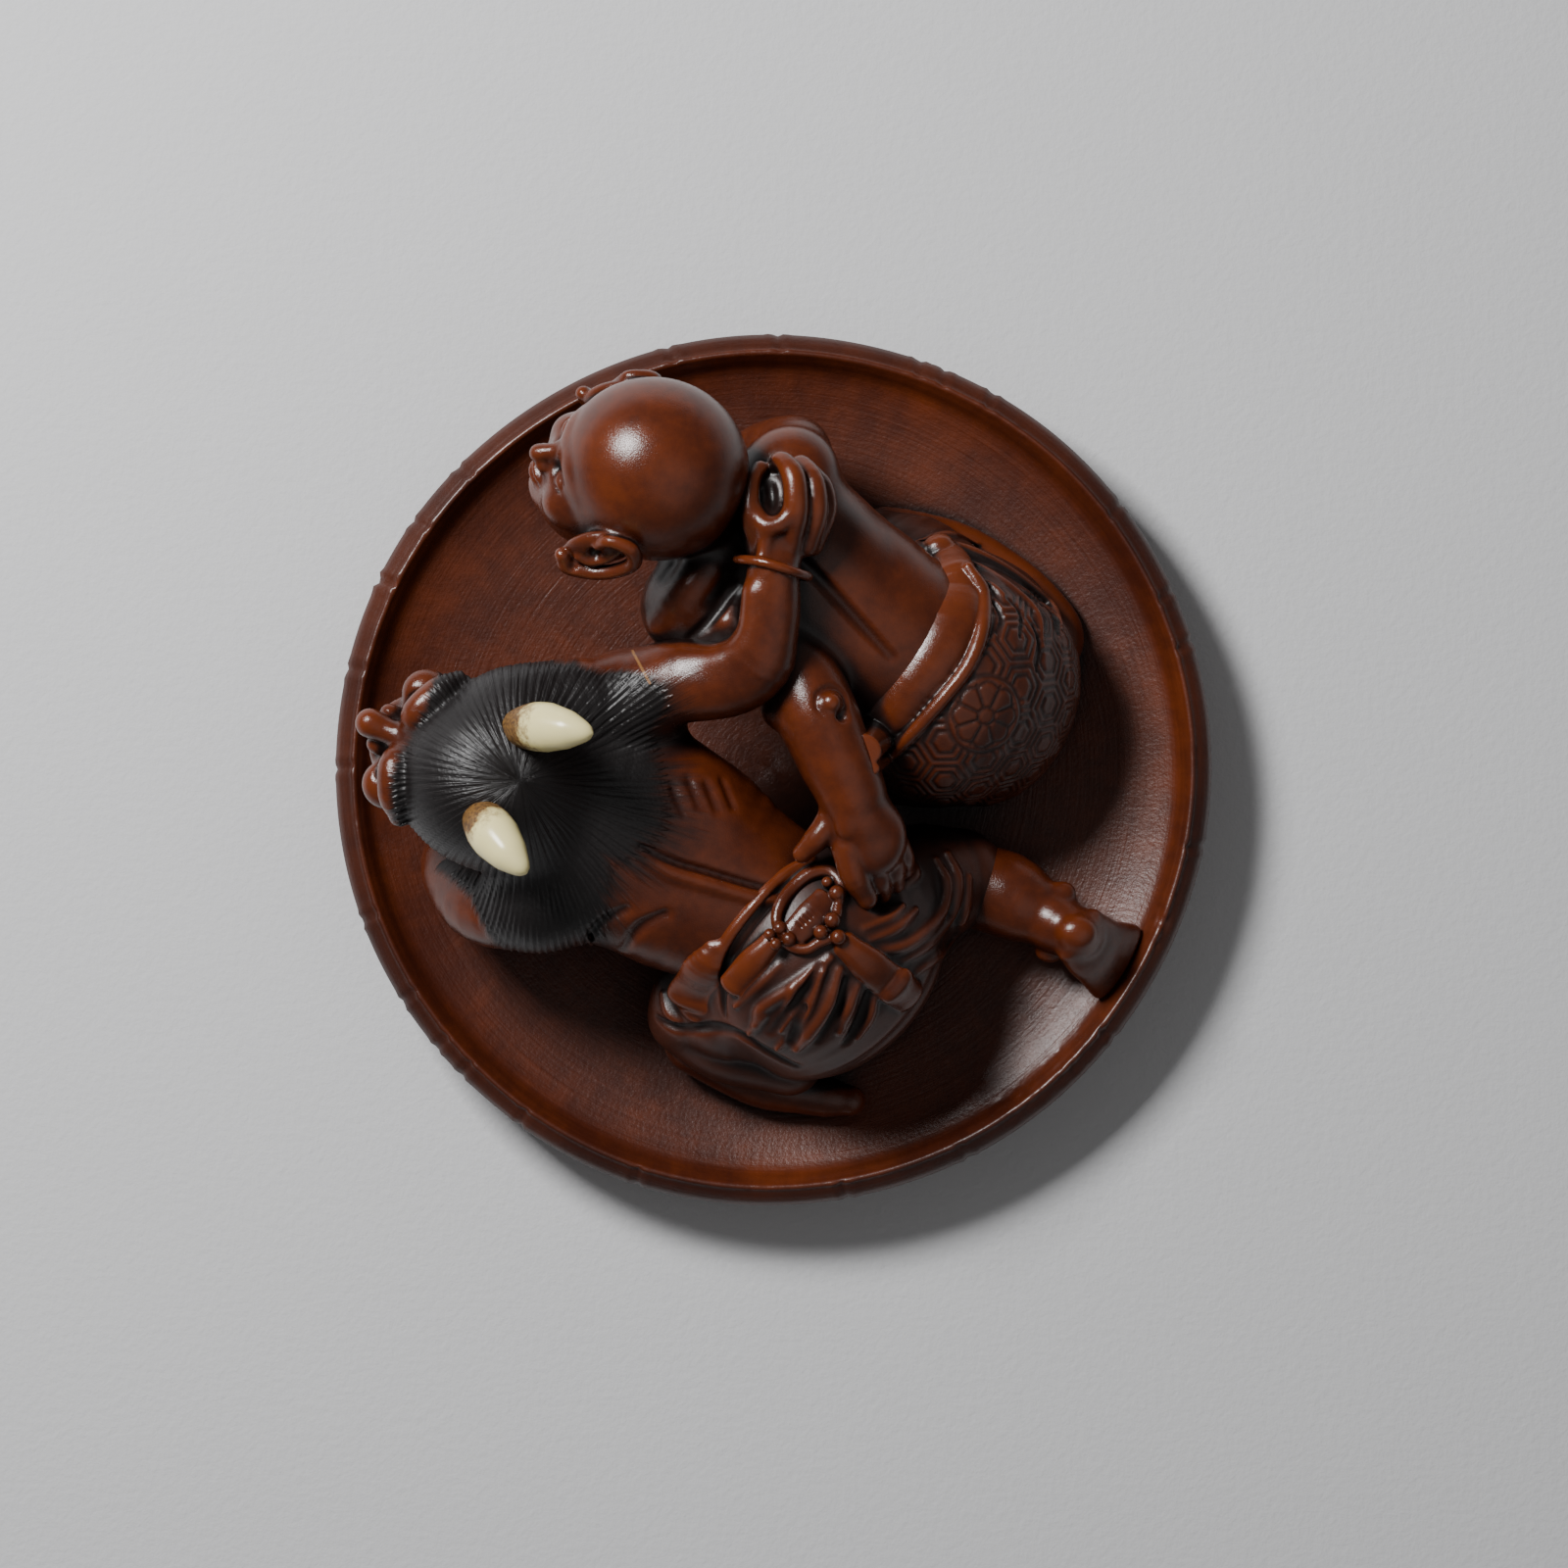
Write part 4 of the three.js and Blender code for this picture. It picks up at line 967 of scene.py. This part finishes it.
def hatProfile():
    # from the middle underneath, out and over the lip, to the middle inside
    radius, height, floor, lip = hat["radius"], hat["height"], hat["floor"], hat["radius"] - hat["band"]
    under = smoothCurve(
        [(hat["footRadius"], 0), (radius * 0.5, 0.55), (radius * 0.74, 1.75), (radius - 0.3, height - 1.5)],
        30
    )
    edge = [
        (radius - 0.1, height - 1.3), (radius, height - 1.05), (radius - 0.02, height - 0.8),
        (radius - 0.25, height - 0.5), (lip + 0.3, height - 0.22), (lip + 0.12, height - 0.12),
        (lip + 0.06, height), (lip - 0.1, height), (lip - 0.2, height - 0.12)
    ]
    inside = smoothCurve(
        [
            (lip - 0.32, height - 0.3), (radius * 0.9, height - 1.35), (radius * 0.76, height - 2.25),
            (radius * 0.5, floor + 0.4), (radius * 0.2, floor)
        ], 14
    )
    return [tuple(p) for p in under], edge, [tuple(p) for p in inside]


hatUnder, hatEdge, hatInside = [np.array(part) for part in hatProfile()]


def insideHeight(r):
    return np.interp(r, hatInside[::-1, 0], hatInside[::-1, 1])


def underHeight(r):
    return np.interp(r, hatUnder[:, 0], hatUnder[:, 1])


def tube(points, radii, sides):
    # a closed tube round a line of points
    made = bmesh.new()
    ring = bmesh.ops.create_circle(made, cap_ends=True, segments=sides, radius=1)["verts"]
    face = ring[0].link_faces[0]
    centre = Vector((0, 0, 0))
    normal = Vector((0, 0, 1))
    for i, (place, radius) in enumerate(zip(points, radii)):
        if i:
            face = bmesh.ops.extrude_discrete_faces(made, faces=[face])["faces"][0]
            ring = list(face.verts)
        ahead = Vector(points[min(i + 1, len(points) - 1)]) - Vector(points[max(i - 1, 0)])
        turn = normal.rotation_difference(ahead.normalized())
        size = radius if not i else radius / radii[i - 1]
        for v in ring:
            v.co = Vector(place) + turn @ ((v.co - centre) * size)
        centre, normal = Vector(place), ahead.normalized()
    bmesh.ops.recalc_face_normals(made, faces=made.faces)
    return made


def finished(name, mesh, replaced):
    mesh.shade_smooth()
    piece = bpy.data.objects.new(name, mesh)
    bpy.context.collection.objects.link(piece)
    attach(piece, "root")
    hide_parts(replaced)
    return piece


def intoScene(made, name):
    # a bmesh in millimetres from the ground, as a mesh in its place
    for v in made.verts:
        v.co = ground + v.co * millimetre
    mesh = bpy.data.meshes.new(name)
    made.to_mesh(mesh)
    made.free()
    return mesh


def spunHat():
    under, edge, inside = hatProfile()
    profile = [(0, 0), (hat["footRadius"] * 0.5, 0)] + under + edge + inside + [(0, hat["floor"])]
    made = bmesh.new()
    verts = [made.verts.new((r, 0, z)) for r, z in profile]
    edges = [made.edges.new(pair) for pair in zip(verts, verts[1:])]
    bmesh.ops.spin(
        made, geom=verts + edges, cent=(0, 0, 0), axis=(0, 0, 1), angle=2 * math.pi, steps=hat["steps"],
        use_merge=True
    )
    bmesh.ops.remove_doubles(made, verts=made.verts, dist=1e-4)
    bmesh.ops.recalc_face_normals(made, faces=made.faces)
    chance = random.Random(7)
    ticks = [math.radians(a + chance.uniform(-0.5, 0.5)) for a in hat["ticks"]] + [
        math.radians(a + chance.uniform(-5, 5)) for a in range(-180, 180, 24)
    ]
    worn = [
        (math.radians(chance.uniform(*hat["worn"])), chance.uniform(20.7, 21.9), chance.uniform(0.1, 0.32))
        for _ in range(60)
    ]
    worn += [
        (math.radians(hat["notch"] + chance.uniform(-1.2, 1.2)), chance.uniform(20.9, 21.6), 0.3)
        for _ in range(5)
    ]
    worn += [
        (math.radians(chance.uniform(-180, 180)), chance.uniform(21.2, 22.0), chance.uniform(0.1, 0.22))
        for _ in range(60)
    ]
    lip = hat["radius"] - hat["band"]
    for v in made.verts:
        x, y, z = v.co
        r = math.hypot(x, y)
        if r < 0.5:
            continue
        a = math.atan2(y, x)
        below = z < 0.5 * (float(underHeight(r)) + float(insideHeight(r))) and r < lip + 0.3
        if below and r > hat["footRadius"] + 0.6:
            row = r / hat["row"]
            strand = abs(
                math.sin(a * hat["ribs"] / 2 + (int(row) % 2) * math.pi / 2)
            ) ** 0.7 * abs(math.sin(math.pi * row)) ** 0.5
            z -= 0.16 * strand - 0.1
        if r > lip + 0.05 and not below:
            for tick in ticks:
                off = (a - tick + math.pi) % (2 * math.pi) - math.pi - 0.012 * (r - lip)
                if abs(off) < 0.05:
                    cut = 0.09 * math.exp(-((off / 0.008) ** 2)) - 0.05 * math.exp(
                        -(((abs(off) - 0.018) / 0.008) ** 2)
                    )
                    z -= cut * 0.7
                    r -= cut
        if r > 20 and not below:
            for angle, radius, size in worn:
                off = math.hypot((a - angle) * r, r - radius) if abs(a - angle) < 0.1 else 9
                if off < size:
                    z -= 0.3 * size * (1 - (off / size) ** 2)
        rim = max(0, (r - 16) / (hat["radius"] - 16))
        r *= 1 + rim * (
            0.0035 * math.sin(2 * a + 1) + 0.002 * math.sin(3 * a + 0.4) + 0.0012 * math.sin(7 * a + 2)
        ) - rim * 0.004
        z += rim * (0.07 * math.sin(3 * a + 2) + 0.04 * math.sin(8 * a) - 0.08)
        v.co = (r * math.cos(a), r * math.sin(a), max(z, 0))
    return made


def cordTunnel():
    (ax, ay, a), (bx, by, b) = hat["cordHoles"]
    deep = hat["cordDepth"]
    path = smoothCurve(
        [
            (ax, ay, -0.8), (ax, ay, deep * 0.5), ((ax * 2 + bx) / 3, (ay * 2 + by) / 3, deep - 0.4),
            ((ax + bx * 2) / 3, (ay + by * 2) / 3, deep - 0.4), (bx, by, deep * 0.5), (bx, by, -0.8)
        ], 6
    )
    return path, eased([(a,), (a,), (a * 0.9,), (b,), (b,), (b,)], 6)[:, 0]


def drilledHat():
    piece = finished("hat", intoScene(spunHat(), "hat"), "carving")
    path, radii = cordTunnel()
    drill = bpy.data.objects.new("drill", intoScene(tube([tuple(p) for p in path], list(radii), 32), "drill"))
    bpy.context.collection.objects.link(drill)
    cut = piece.modifiers.new("holes", "BOOLEAN")
    cut.operation = "DIFFERENCE"
    cut.solver = "MANIFOLD"
    cut.object = drill
    bpy.context.view_layer.update()
    mesh = bpy.data.meshes.new_from_object(piece.evaluated_get(bpy.context.evaluated_depsgraph_get()))
    piece.modifiers.clear()
    piece.data = mesh
    bpy.data.objects.remove(drill)
    return piece


path, radii = cordTunnel()
drillForm = Sweep(path, list(radii), (0.89, 0.46, 0), steps=1)
robe.cut(drillForm, 0.1)

pieces = {"hat": drilledHat()}
report("hat spun")


# surfaces

# settings for the painted shade and patina that darken crowded places
shadeAndPatina = {"grain": 0.5, "nearPasses": 6, "farPasses": 44, "nearReach": 0.9, "farReach": 2.0}
repair = {"from": (-7.05, 5.95), "to": (-6.15, 4.3), "above": 13}

room = Clay((-24.5, -24.5, -1.5), (24.5, 24.5, 24), shadeAndPatina["grain"] / (1))


def crowding():
    # how much wood is about each place, near by and farther off: painted shade and dark patina gather where
    # there is much
    x, y, z = np.meshgrid(*room.axes, indexing="ij")
    full = np.zeros(room.shape, np.float32)
    r = np.sqrt(x * x + y * y)
    full[(z < insideHeight(r)) & (z > underHeight(r)) & (r < hat["radius"])] = 1
    places = np.stack([x.ravel(), y.ravel(), z.ravel()], axis=1)
    for block in blocks.values():
        inside = np.all(
            (places > block.low) & (places < block.low + block.grain * (np.array(block.shape) - 1)), axis=1
        )
        flat = full.reshape(-1)
        flat[np.nonzero(inside)[0][block.sample(block.skin, places[inside]) < 0]] = 1
    return blurred(full, shadeAndPatina["nearPasses"]), blurred(full, shadeAndPatina["farPasses"])


def measure(piece, block=None):
    mesh = piece.data
    count = len(mesh.vertices)
    places, normals = np.empty(count * 3), np.empty(count * 3)
    mesh.vertices.foreach_get("co", places)
    mesh.vertices.foreach_get("normal", normals)
    places = (places.reshape(-1, 3) - np.array(ground)) / millimetre
    normals = normals.reshape(-1, 3)
    # shade and deep: how crowded it is about each place, which the finishes turn into painted shade and
    # patina
    layers = {
        "shade": room.sample(nearCrowd, places + normals * shadeAndPatina["nearReach"]),
        "deep": room.sample(farCrowd, places + normals * shadeAndPatina["farReach"]),
    }
    if block:
        thin = Clay.__new__(Clay)
        thin.low, thin.grain = block.low, block.grain * 2
        coarse = blurred(block.skin[::2, ::2, ::2], 3)
        thin.shape = list(coarse.shape)
        layers["edge"] = thin.sample(coarse, places) / (block.grain * 0.8)
        for name, layer in block.paint.items():
            layers[name] = block.sample(layer, places)
        layers["hair"] = np.full(count, -3.0)
        layers["repair"] = np.full(count, 9.0)
    if piece.name in ("demon", "hair"):
        inside, wave = hairReach(places[:, 0], places[:, 1])
        layers["hair"] = np.where(places[:, 2] > 8.5, inside, -3)
        a, b = np.array(repair["from"]), np.array(repair["to"])
        t = np.clip((places[:, :2] - a) @ (b - a) / ((b - a) @ (b - a)), 0, 1)
        layers["repair"] = np.linalg.norm(
            places[:, :2] - a - t[:, None] * (b - a), axis=1
        ) + np.clip(repair["above"] - places[:, 2], 0, 9)
    for name, values in layers.items():
        attribute = mesh.attributes.new(name, "FLOAT", "POINT")
        attribute.data.foreach_set("value", np.asarray(values, np.float32))


for name, block in blocks.items():
    points, faces = block.polygons()
    mesh = bpy.data.meshes.new(name)
    mesh.from_pydata((np.array(ground) + points * millimetre).tolist(), [], faces.tolist())
    pieces[name] = finished(name, mesh, "carving")
    print(name, "has", 2 * len(faces), "triangles")

nearCrowd, farCrowd = crowding()
for name, piece in pieces.items():
    measure(piece, blocks.get(name))
report("surfaces measured")


# the horns

horns = {
    "horn_right": [(-12.7, 2.05, 17.6), (-11.6, 2.1, 19.3), (-10.2, 1.95, 20.5), (-8.9, 1.75, 21.25)],
    "horn_left": [(-14.6, -2.3, 17.6), (-14.0, -3.1, 19.2), (-13.1, -4.2, 20.3), (-12.2, -5.2, 20.9)],
}
for name, spine in horns.items():
    line = smoothCurve(spine, 8)
    along = np.linspace(0, 1, len(line))
    girth = np.interp(
        along, [0, 0.1, 0.3, 0.45, 0.7, 0.86, 0.94, 0.98, 1],
        [0.95, 1.08, 1.24, 1.24, 0.95, 0.62, 0.42, 0.25, 0.06]
    )
    made = tube([tuple(p) for p in line], list(girth), 40)
    pieces[name] = finished("ivory_" + name, intoScene(made, name), name)
    attribute = pieces[name].data.attributes.new("along", "FLOAT", "POINT")
    tip, root = Vector(line[-1]), Vector(line[0])
    for v, value in zip(pieces[name].data.vertices, attribute.data):
        value.value = ((v.co - ground) / millimetre - root).dot(tip - root) / (tip - root).length_squared


# finishes


class Wire:
    # a socket on which arithmetic adds Math nodes
    def __init__(self, finish, socket):
        self.finish, self.socket = finish, socket

    def math(self, operation, *values):
        return self.finish.node("ShaderNodeMath", {"operation": operation}, dict(enumerate(values)))

    def __add__(self, other):
        return self.math("ADD", self, other)

    def __sub__(self, other):
        return self.math("SUBTRACT", self, other)

    def __rsub__(self, other):
        return self.math("SUBTRACT", other, self)

    def __mul__(self, other):
        return self.math("MULTIPLY", self, other)

    def __truediv__(self, other):
        return self.math("DIVIDE", self, other)

    def __rtruediv__(self, other):
        return self.math("DIVIDE", other, self)

    def __abs__(self):
        return self.math("ABSOLUTE", self)

    __radd__, __rmul__ = __add__, __mul__

    def between(self, low, high):
        # 0 below the first value and 1 above the second, eased
        settings = {"interpolation_type": "SMOOTHSTEP"}
        return self.finish.node(
            "ShaderNodeMapRange", settings, {"Value": self, "From Min": low, "From Max": high}
        )


class Finish:
    def __init__(self, name):
        self.material = bpy.data.materials.new(name)
        self.material.use_nodes = True
        self.tree = self.material.node_tree
        self.shader = self.tree.nodes["Principled BSDF"]
        self.place = self.node(
            "ShaderNodeMapping", {},
            {
                "Vector": self.node("ShaderNodeTexCoord", {}, {}, "Object"),
                "Location": tuple(-v / millimetre for v in ground), "Scale": (1 / millimetre,) * 3
            }
        )

    def node(self, kind, settings, values, output=0):
        made = self.tree.nodes.new(kind)
        for name, value in settings.items():
            setattr(made, name, value)
        for key, value in values.items():
            if isinstance(value, Wire):
                self.tree.links.new(value.socket, made.inputs[key])
            else:
                made.inputs[key].default_value = value
        return Wire(self, made.outputs[output])

    def attribute(self, name):
        return self.node("ShaderNodeAttribute", {"attribute_name": name}, {}, "Fac")

    def mix(self, share, first, second):
        colour = lambda c: c if isinstance(c, Wire) else (*c, 1)
        return self.node(
            "ShaderNodeMix", {"data_type": "RGBA"}, {0: share, 6: colour(first), 7: colour(second)}, 2
        )

    def noise(self, place, scale, detail=2, rough=0.5, distort=0):
        return self.node(
            "ShaderNodeTexNoise", {},
            {"Vector": place, "Scale": scale, "Detail": detail, "Roughness": rough, "Distortion": distort}
        )

    def vector(self, x, y, z):
        return self.node("ShaderNodeCombineXYZ", {}, {0: x, 1: y, 2: z})

    def parts(self, place):
        made = self.node("ShaderNodeSeparateXYZ", {}, {0: place})
        return [Wire(self, made.socket.node.outputs[i]) for i in range(3)]

    def polar(self, centre):
        # the direction from a centre in plan, as two parts, and the distance in millimetres
        x, y, z = self.parts(self.place)
        x, y = x - centre[0], y - centre[1]
        r = (x * x + y * y).math("SQRT", x * x + y * y) + 0.001
        return x / r, y / r, r

    def bump(self, height, depth, normal=None):
        # depth in millimetres for a height from 0 to 1
        values = {"Height": height, "Distance": depth * millimetre, "Strength": 1.0}
        if normal:
            values["Normal"] = normal
        return self.node("ShaderNodeBump", {}, values)

    def wear(self, name, value):
        socket = self.shader.inputs[name]
        if isinstance(value, Wire):
            self.tree.links.new(value.socket, socket)
        else:
            socket.default_value = value


woodTones = {
    "light": (0.122, 0.024, 0.006),
    "middle": (0.046, 0.0092, 0.0038),
    "dark": (0.0095, 0.0030, 0.0022),
    # the crevice colour: painted shade with grime
    "creviceShadeAndGrime": (0.0045, 0.0022, 0.0018),
    "stain": (0.008, 0.006, 0.006),
    "repair": (0.2, 0.09, 0.028),
}


def carvedWood():
    finish = Finish("boxwood")
    shade, deep, edge = [finish.attribute(name) for name in ("shade", "deep", "edge")]
    cloth, polish = [finish.attribute(name).between(0.2, 0.6) for name in ("cloth", "polish")]
    blotch = finish.noise(finish.place, 0.35, 3, 0.55)
    mottle = finish.noise(finish.place, 1.6, 4, 0.6)
    speck = finish.noise(finish.place, 9, 2, 0.6)
    worn = (blotch - 0.5) * 0.9 + (mottle - 0.5) * 0.5 + edge * 0.16 + 0.5 + polish * 0.2
    colour = finish.mix(worn.between(0.15, 0.95), woodTones["middle"], woodTones["light"])
    # painted shade with patina: darker where the wood is crowded or hollowed; the cloth is darker and the
    # polished parts lighter in their own tone
    recess = (
        shade.between(0.14, 0.5) * 0.75 + deep.between(0.2, 0.62) * 0.55 - edge * 0.28 + (mottle - 0.5)
        * 0.35 + cloth * 0.42 - polish * 0.25
    ).between(0.02, 0.85)
    colour = finish.mix(recess, colour, woodTones["dark"])
    # painted shade with grime: near black in the tightest hollows and creases
    crevice = (edge * -1.0 + (speck - 0.5) * 0.5 + shade * 0.7).between(1.0, 2.0)
    colour = finish.mix(crevice, colour, woodTones["creviceShadeAndGrime"])
    # the black stain of the hair, in strands about the whorl
    across, up, r = finish.polar(hair["whorl"])
    strands = finish.noise(finish.vector(across * 26, up * 26, r * 0.35), 1.0, 2, 0.6, 0.2)
    inside = finish.attribute("hair")
    x, y, z = finish.parts(finish.place)
    back = ((x - hair["whorl"][0]) * 0.86 - (y - hair["whorl"][1]) * 0.5).between(2.5, 6.0)
    soft = 0.28 + back * 1.5
    stained = (inside + (strands - 0.5) * (0.7 + back * 2.6) + back * 0.4) / soft
    stained = stained.between(-1.0, 1.0) * inside.between(-2.9, -2.8)
    colour = finish.mix(stained, colour, woodTones["stain"])
    line = 1 - finish.attribute("repair").between(0.04, 0.09)
    mended = line * finish.attribute("hair").between(-2.99, -2.9)
    colour = finish.mix(mended, colour, woodTones["repair"])
    finish.wear("Base Color", colour)
    finish.wear("Roughness", 0.22 + recess * 0.15 + (speck - 0.5) * 0.12 + cloth * 0.08 + stained * 0.2)
    grain = finish.noise(finish.place, 14, 2, 0.6)
    finish.wear("Normal", finish.bump(strands * stained * 0.6 + grain * 0.12, 0.11))
    return finish.material


def turnedWood():
    # the hat: tool marks run round it, and its bound edge is smoother
    finish = Finish("turned_boxwood")
    shade, deep = finish.attribute("shade"), finish.attribute("deep")
    across, up, r = finish.polar((0, 0))
    blotch = finish.noise(finish.place, 0.16, 3, 0.55)
    mottle = finish.noise(finish.place, 1.1, 4, 0.65)
    rings = finish.noise(finish.vector(across * 3.0, up * 3.0, r * 5.5), 1.0, 3, 0.65, 0.3)
    cuts = finish.noise(finish.vector(across * 34, up * 34, r * 0.5), 1.0, 2, 0.6)
    speck = finish.noise(finish.place, 8, 2, 0.6)
    band = r.between(20.2, 20.9)
    outer = r.between(21.45, 21.6)
    worn = (blotch - 0.5) * 1.1 + (mottle - 0.5) * 0.5 + (rings - 0.5) * 0.35 + (cuts - 0.5) * 0.25 + 0.42
    colour = finish.mix(worn.between(0.1, 0.95), woodTones["middle"], woodTones["light"])
    # painted shade with patina: the hat is darker where the figures crowd it and in its hollows; the bound
    # edge outside is darker in its own tone
    recess = (
        shade.between(0.22, 0.6) * 0.6 + deep.between(0.3, 0.62) * 0.75 + (mottle - 0.5) * 0.3 + outer * 0.4
    ).between(0.06, 0.9)
    colour = finish.mix(recess, colour, woodTones["dark"])
    finish.wear("Base Color", colour)
    finish.wear("Roughness", 0.4 + (rings - 0.5) * 0.16 + (speck - 0.5) * 0.12 - band * 0.06)
    height = rings * 0.5 + cuts * 0.25 + finish.noise(finish.place, 5, 3, 0.6) * 0.5
    finish.wear("Normal", finish.bump(height * (1 - band * 0.5), 0.05))
    return finish.material


ivoryTones = {
    "pale": (0.82, 0.73, 0.36),
    "yellow": (0.74, 0.61, 0.24),
    "brown": (0.20, 0.10, 0.025),
    "burnt": (0.05, 0.02, 0.008),
}


def stainedIvory():
    finish = Finish("ivory")
    along = finish.attribute("along")
    mottle = finish.noise(finish.place, 1.7, 4, 0.65)
    fine = finish.noise(finish.place, 6, 2, 0.6)
    brown = 1 - (along + (mottle - 0.5) * 0.55 + (fine - 0.5) * 0.15).between(0.26, 0.5)
    colour = finish.mix((mottle - 0.2) * 0.5, ivoryTones["pale"], ivoryTones["yellow"])
    colour = finish.mix(brown, colour, ivoryTones["brown"])
    colour = finish.mix((brown * fine).between(0.42, 0.6) * 0.8, colour, ivoryTones["burnt"])
    finish.wear("Base Color", colour)
    finish.wear("Roughness", 0.25 + brown * 0.2)
    return finish.material


wood, turned, ivory = carvedWood(), turnedWood(), stainedIvory()
for name, piece in pieces.items():
    piece.data.materials.clear()
    piece.data.materials.append(turned if name == "hat" else ivory if name in horns else wood)
report("finishes mixed")


# light, ground and camera

studio = {
    "key": {"place": (-0.105, 0.105, 0.172), "size": 0.06, "power": 0.74},
    "fill": {"place": (0.25, -0.2, 0.5), "size": 0.6, "power": 0.3},
    "room": 0.11,
    "paper": (0.62, 0.62, 0.63),
    "paperHalf": 1.5,
    "cameraHeight": 507,  # over the ground, in millimetres
    "over": (0.575, -0.75),
    "lens": 225,
    "sensor": 36,
}


def lamp(name, place, size, power):
    light = bpy.data.lights.new(name, "AREA")
    light.size = size
    light.energy = power
    made = bpy.data.objects.new(name, light)
    made.location = place
    made.rotation_euler = (ground - Vector(place)).to_track_quat("-Z", "Y").to_euler()
    bpy.context.collection.objects.link(made)


lamp("key", **studio["key"])
lamp("fill", **studio["fill"])

world = bpy.data.worlds.new("room")
bpy.context.scene.world = world
world.use_nodes = True
world.node_tree.nodes["Background"].inputs[0].default_value = (1, 1, 1, 1)
world.node_tree.nodes["Background"].inputs[1].default_value = studio["room"]

paper = bmesh.new()
bmesh.ops.create_grid(paper, x_segments=1, y_segments=1, size=studio["paperHalf"])
paperMesh = bpy.data.meshes.new("paper")
paper.to_mesh(paperMesh)
paper.free()
paperSheet = bpy.data.objects.new("paper", paperMesh)
paperSheet.location = ground
bpy.context.collection.objects.link(paperSheet)
sheet = Finish("paper")
sheet.wear("Base Color", (*studio["paper"], 1))
sheet.wear("Roughness", 0.95)
sheet.wear("Normal", sheet.bump(sheet.noise(sheet.place, 2.2, 3, 0.6), 0.05))
paperMesh.materials.append(sheet.material)

lens = bpy.data.cameras.new("camera")
lens.sensor_width = studio["sensor"]
lens.lens = studio["lens"]
camera = bpy.data.objects.new("camera", lens)
camera.location = ground + Vector((*studio["over"], studio["cameraHeight"])) * millimetre
bpy.context.collection.objects.link(camera)
bpy.context.scene.camera = camera
